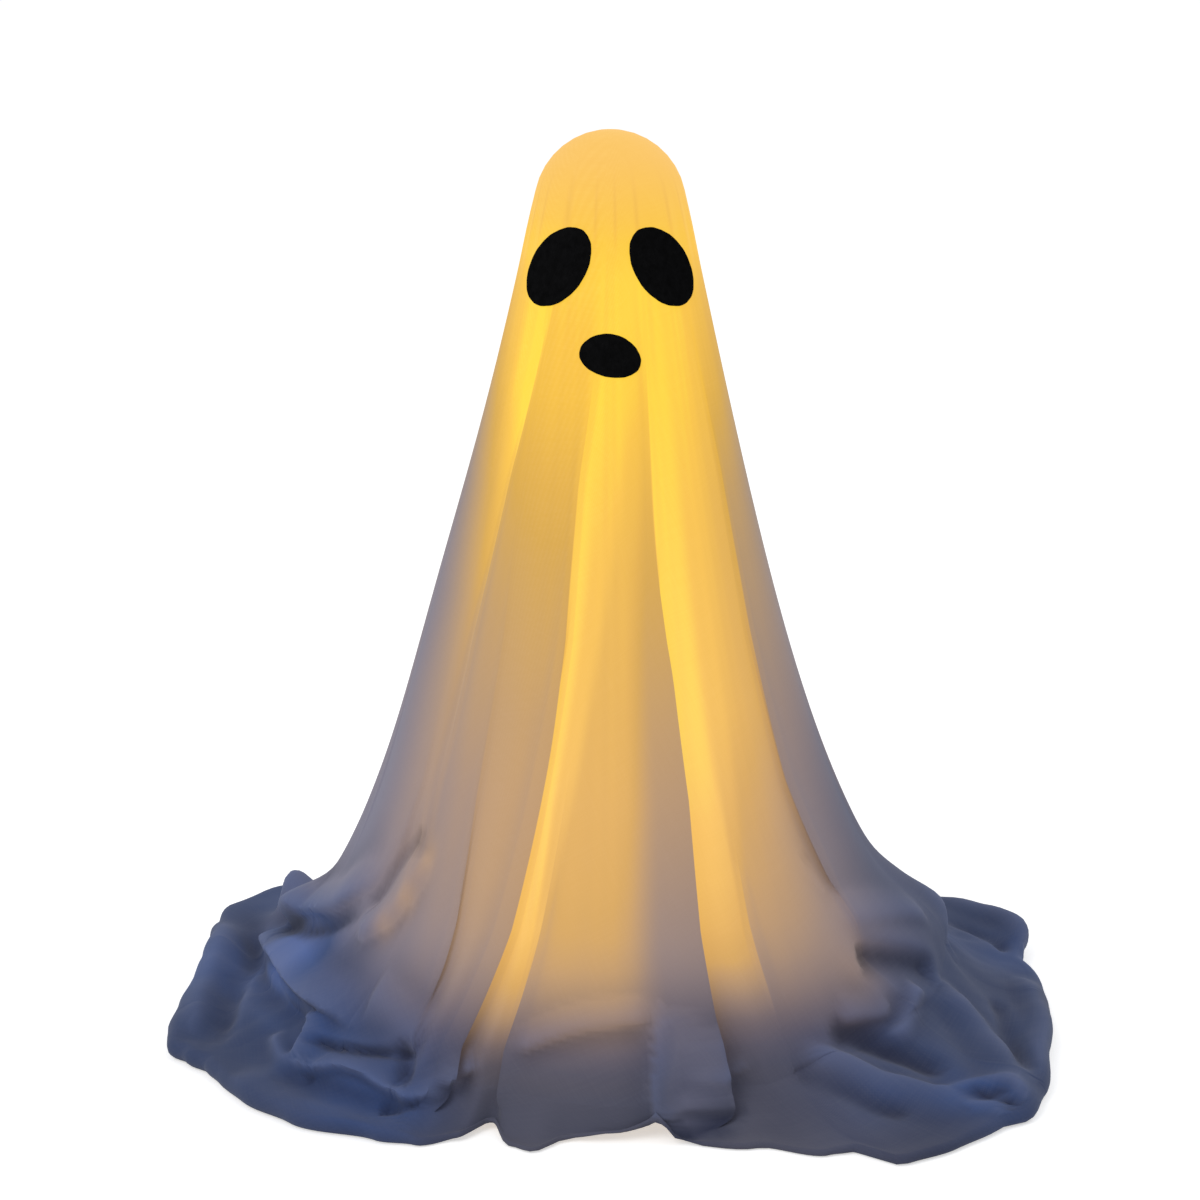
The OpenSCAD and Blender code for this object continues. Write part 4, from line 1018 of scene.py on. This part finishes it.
def solderMask(name, colour, trace):
    finish = Finish(name)
    where = finish.place()
    tracks = finish.node("ShaderNodeTexBrick", {"offset": 0.37, "squash": 0.8}, {
        "Vector": finish.scaled(where, (260, 260, 260)), "Color1": rgb(0, 0, 0), "Color2": rgb(0, 0, 0),
        "Mortar": rgb(1, 1, 1), "Mortar Size": 0.05, "Brick Width": 1.7, "Row Height": 0.55}, "Fac")
    cloud = finish.noise(where, 90.0, 2.0)
    tone = finish.blend((0.75 * tracks + 0.25 * cloud).clamped(), rgb(*colour), rgb(*trace))
    return finish.surface(Base_Color=tone, Roughness=0.3 + 0.12 * cloud,
                          Normal=finish.bump(tracks, 0.00005, 0.6))


def litChips():
    finish = Finish("litChips")
    where = finish.place()
    grains = finish.cells(where, 2600.0)
    light = finish.blend(grains, rgb(1.0, 0.86, 0.5), rgb(1.0, 0.72, 0.28))
    return finish.surface(Base_Color=light, Emission_Color=light, Emission_Strength=1.6, Roughness=0.25,
                          Normal=finish.bump(grains, 0.00005, 0.4))


def foam():
    finish = Finish("foamPad")
    where = finish.place()
    pores = finish.cells(where, 750.0)
    cloud = finish.noise(where, 60.0, 3.0)
    tone = finish.blend((pores * cloud).clamped(), rgb(0.028, 0.028, 0.03), rgb(0.085, 0.085, 0.09))
    return finish.surface(Base_Color=tone, Roughness=0.92, Normal=finish.bump(pores, 0.0004, 0.7))


cellMarks = {"bareEnds": 0.0236, "band": 0.009}    # along a cell, in metres from its middle


def cellSleeve():
    finish = Finish("cellSleeve")
    where = finish.place()
    along = finish.along(where, "X")
    bare = abs(along).above(cellMarks["bareEnds"])                 # the can's ends stay bare metal
    band = along.above(cellMarks["band"])
    lines = finish.noise(finish.scaled(where, (3000, 120, 120)), 1.0, 2.0)
    scuff = finish.noise(where, 300.0, 4.0, 0.7)
    sleeve = finish.blend(band, rgb(0.16, 0.2, 0.24), rgb(0.5, 0.36, 0.16))
    sleeve = finish.blend((scuff - 0.45) * 0.6, sleeve, rgb(0.5, 0.5, 0.5))
    tone = finish.blend(bare, sleeve, rgb(0.7, 0.7, 0.71))
    return finish.surface(Base_Color=tone, Metallic=0.35 + 0.65 * bare,
                          Roughness=0.28 + 0.15 * scuff + 0.08 * lines,
                          Normal=finish.bump(scuff, 0.00004, 0.4))


# by material slot; a speckled one has two colours, the texture's scale and depth, and its roughness
finishes = {
    "white_plastic": speckled("whitePlastic", (0.84, 0.84, 0.82), (0.88, 0.88, 0.865), 1900.0, 0.00009, 0.48),
    "black_plastic": speckled("blackPlastic", (0.024, 0.024, 0.025), (0.04, 0.04, 0.041),
                              2400.0, 0.00006, 0.4),
    "pole_paint": speckled("polePaint", (0.86, 0.86, 0.84), (0.9, 0.9, 0.885), 420.0, 0.00005, 0.28,
                           Coat_Weight=0.3),
    "black_rubber": speckled("blackRubber", (0.022, 0.022, 0.022), (0.045, 0.044, 0.043),
                             900.0, 0.00012, 0.62),
    "red_wire": speckled("redWire", (0.46, 0.016, 0.016), (0.56, 0.028, 0.024), 700.0, 0.00004, 0.36),
    "black_wire": speckled("blackWire", (0.016, 0.016, 0.017), (0.03, 0.03, 0.031), 700.0, 0.00004, 0.36),
    "screw_steel": platedMetal("zincSteel", (0.6, 0.6, 0.615), (0.72, 0.72, 0.725), (300, 300, 2600)),
    "contact_metal": platedMetal("nickelContacts", (0.66, 0.645, 0.61), (0.78, 0.77, 0.74), (2600, 300, 300)),
    "board_white": solderMask("boardWhite", (0.88, 0.88, 0.87), (0.74, 0.75, 0.73)),
    "board_green": solderMask("boardGreen", (0.022, 0.2, 0.07), (0.05, 0.33, 0.12)),
    "frosted_dome": frostedDome(), "led": litChips(), "foam_pad": foam(), "cell_sleeve": cellSleeve(),
}
for row in frame["record"]["subparts"]:
    if row["material_slot"] in finishes:
        node = cadNodes[row["node"]]
        node.data.materials.clear()
        node.data.materials.append(finishes[row["material_slot"]])
print("finishes:", len(finishes))


# stage: a plain pale floor, soft light from all round, a soft key on the left and a weak rim light behind

stage = {
    "floorSize": 40, "floorLift": 0.53, "sky": 0.62, "skyColour": rgb(0.97, 0.98, 1.0),
    "key": {"place": (-1.6, -1.9, 2.4), "size": 2.2, "power": 34, "aim": (0, 0, 0.25)},
    "rim": {"place": (1.8, 1.2, 1.6), "size": 1.6, "power": 10, "aim": (0, 0, 0.2)},
}
white = rgb(1, 1, 1)


def floorFinish():
    finish = Finish("paleFloor")
    grain = finish.noise(finish.place(), 3.0, 4.0)
    tone = finish.blend(grain, rgb(0.79, 0.79, 0.79), rgb(0.81, 0.81, 0.81))
    finish.surface(Base_Color=tone, Roughness=0.95, Specular_IOR_Level=0.0)
    plain = Wire(finish, finish.shader.outputs[0])
    lift = finish.node("ShaderNodeEmission", None, {"Color": white, "Strength": stage["floorLift"]})
    both = finish.node("ShaderNodeAddShader", None, {0: plain, 1: lift})
    finish.show(finish.node("ShaderNodeMixShader", None, {0: finish.seen(), 1: plain, 2: both}),
                "Material Output")
    return finish.material


bpy.ops.mesh.primitive_plane_add(size=stage["floorSize"], location=(0, 0, 0))
floor = bpy.context.object
floor.name = "floor"
floor.data.materials.append(floorFinish())


def softLight(name, values):
    bpy.ops.object.light_add(type="AREA", location=values["place"])
    light = bpy.context.object
    light.name = name
    light.data.shape = "DISK"
    light.data.size = values["size"]
    light.data.energy = values["power"]
    x, y, z = np.array(values["place"]) - np.array(values["aim"])
    light.rotation_euler = (math.atan2(math.hypot(x, y), z), 0, math.atan2(x, -y))


softLight("keyLight", stage["key"])
softLight("rimLight", stage["rim"])


def skyLight():
    # lights the object as stage says, and is white where it is seen
    world = bpy.data.worlds.new("sky")
    bpy.context.scene.world = world
    world.use_nodes = True
    sky = Nodes(world.node_tree)
    background = sky.tree.nodes["Background"]
    sky.fill(background, {"Color": stage["skyColour"], "Strength": stage["sky"]})
    plain = Wire(sky, background.outputs[0])
    pale = sky.node("ShaderNodeBackground", None, {"Color": white, "Strength": 1.0})
    sky.show(sky.node("ShaderNodeMixShader", None, {0: sky.seen(), 1: plain, 2: pale}), "World Output")


skyLight()
print("stage set")
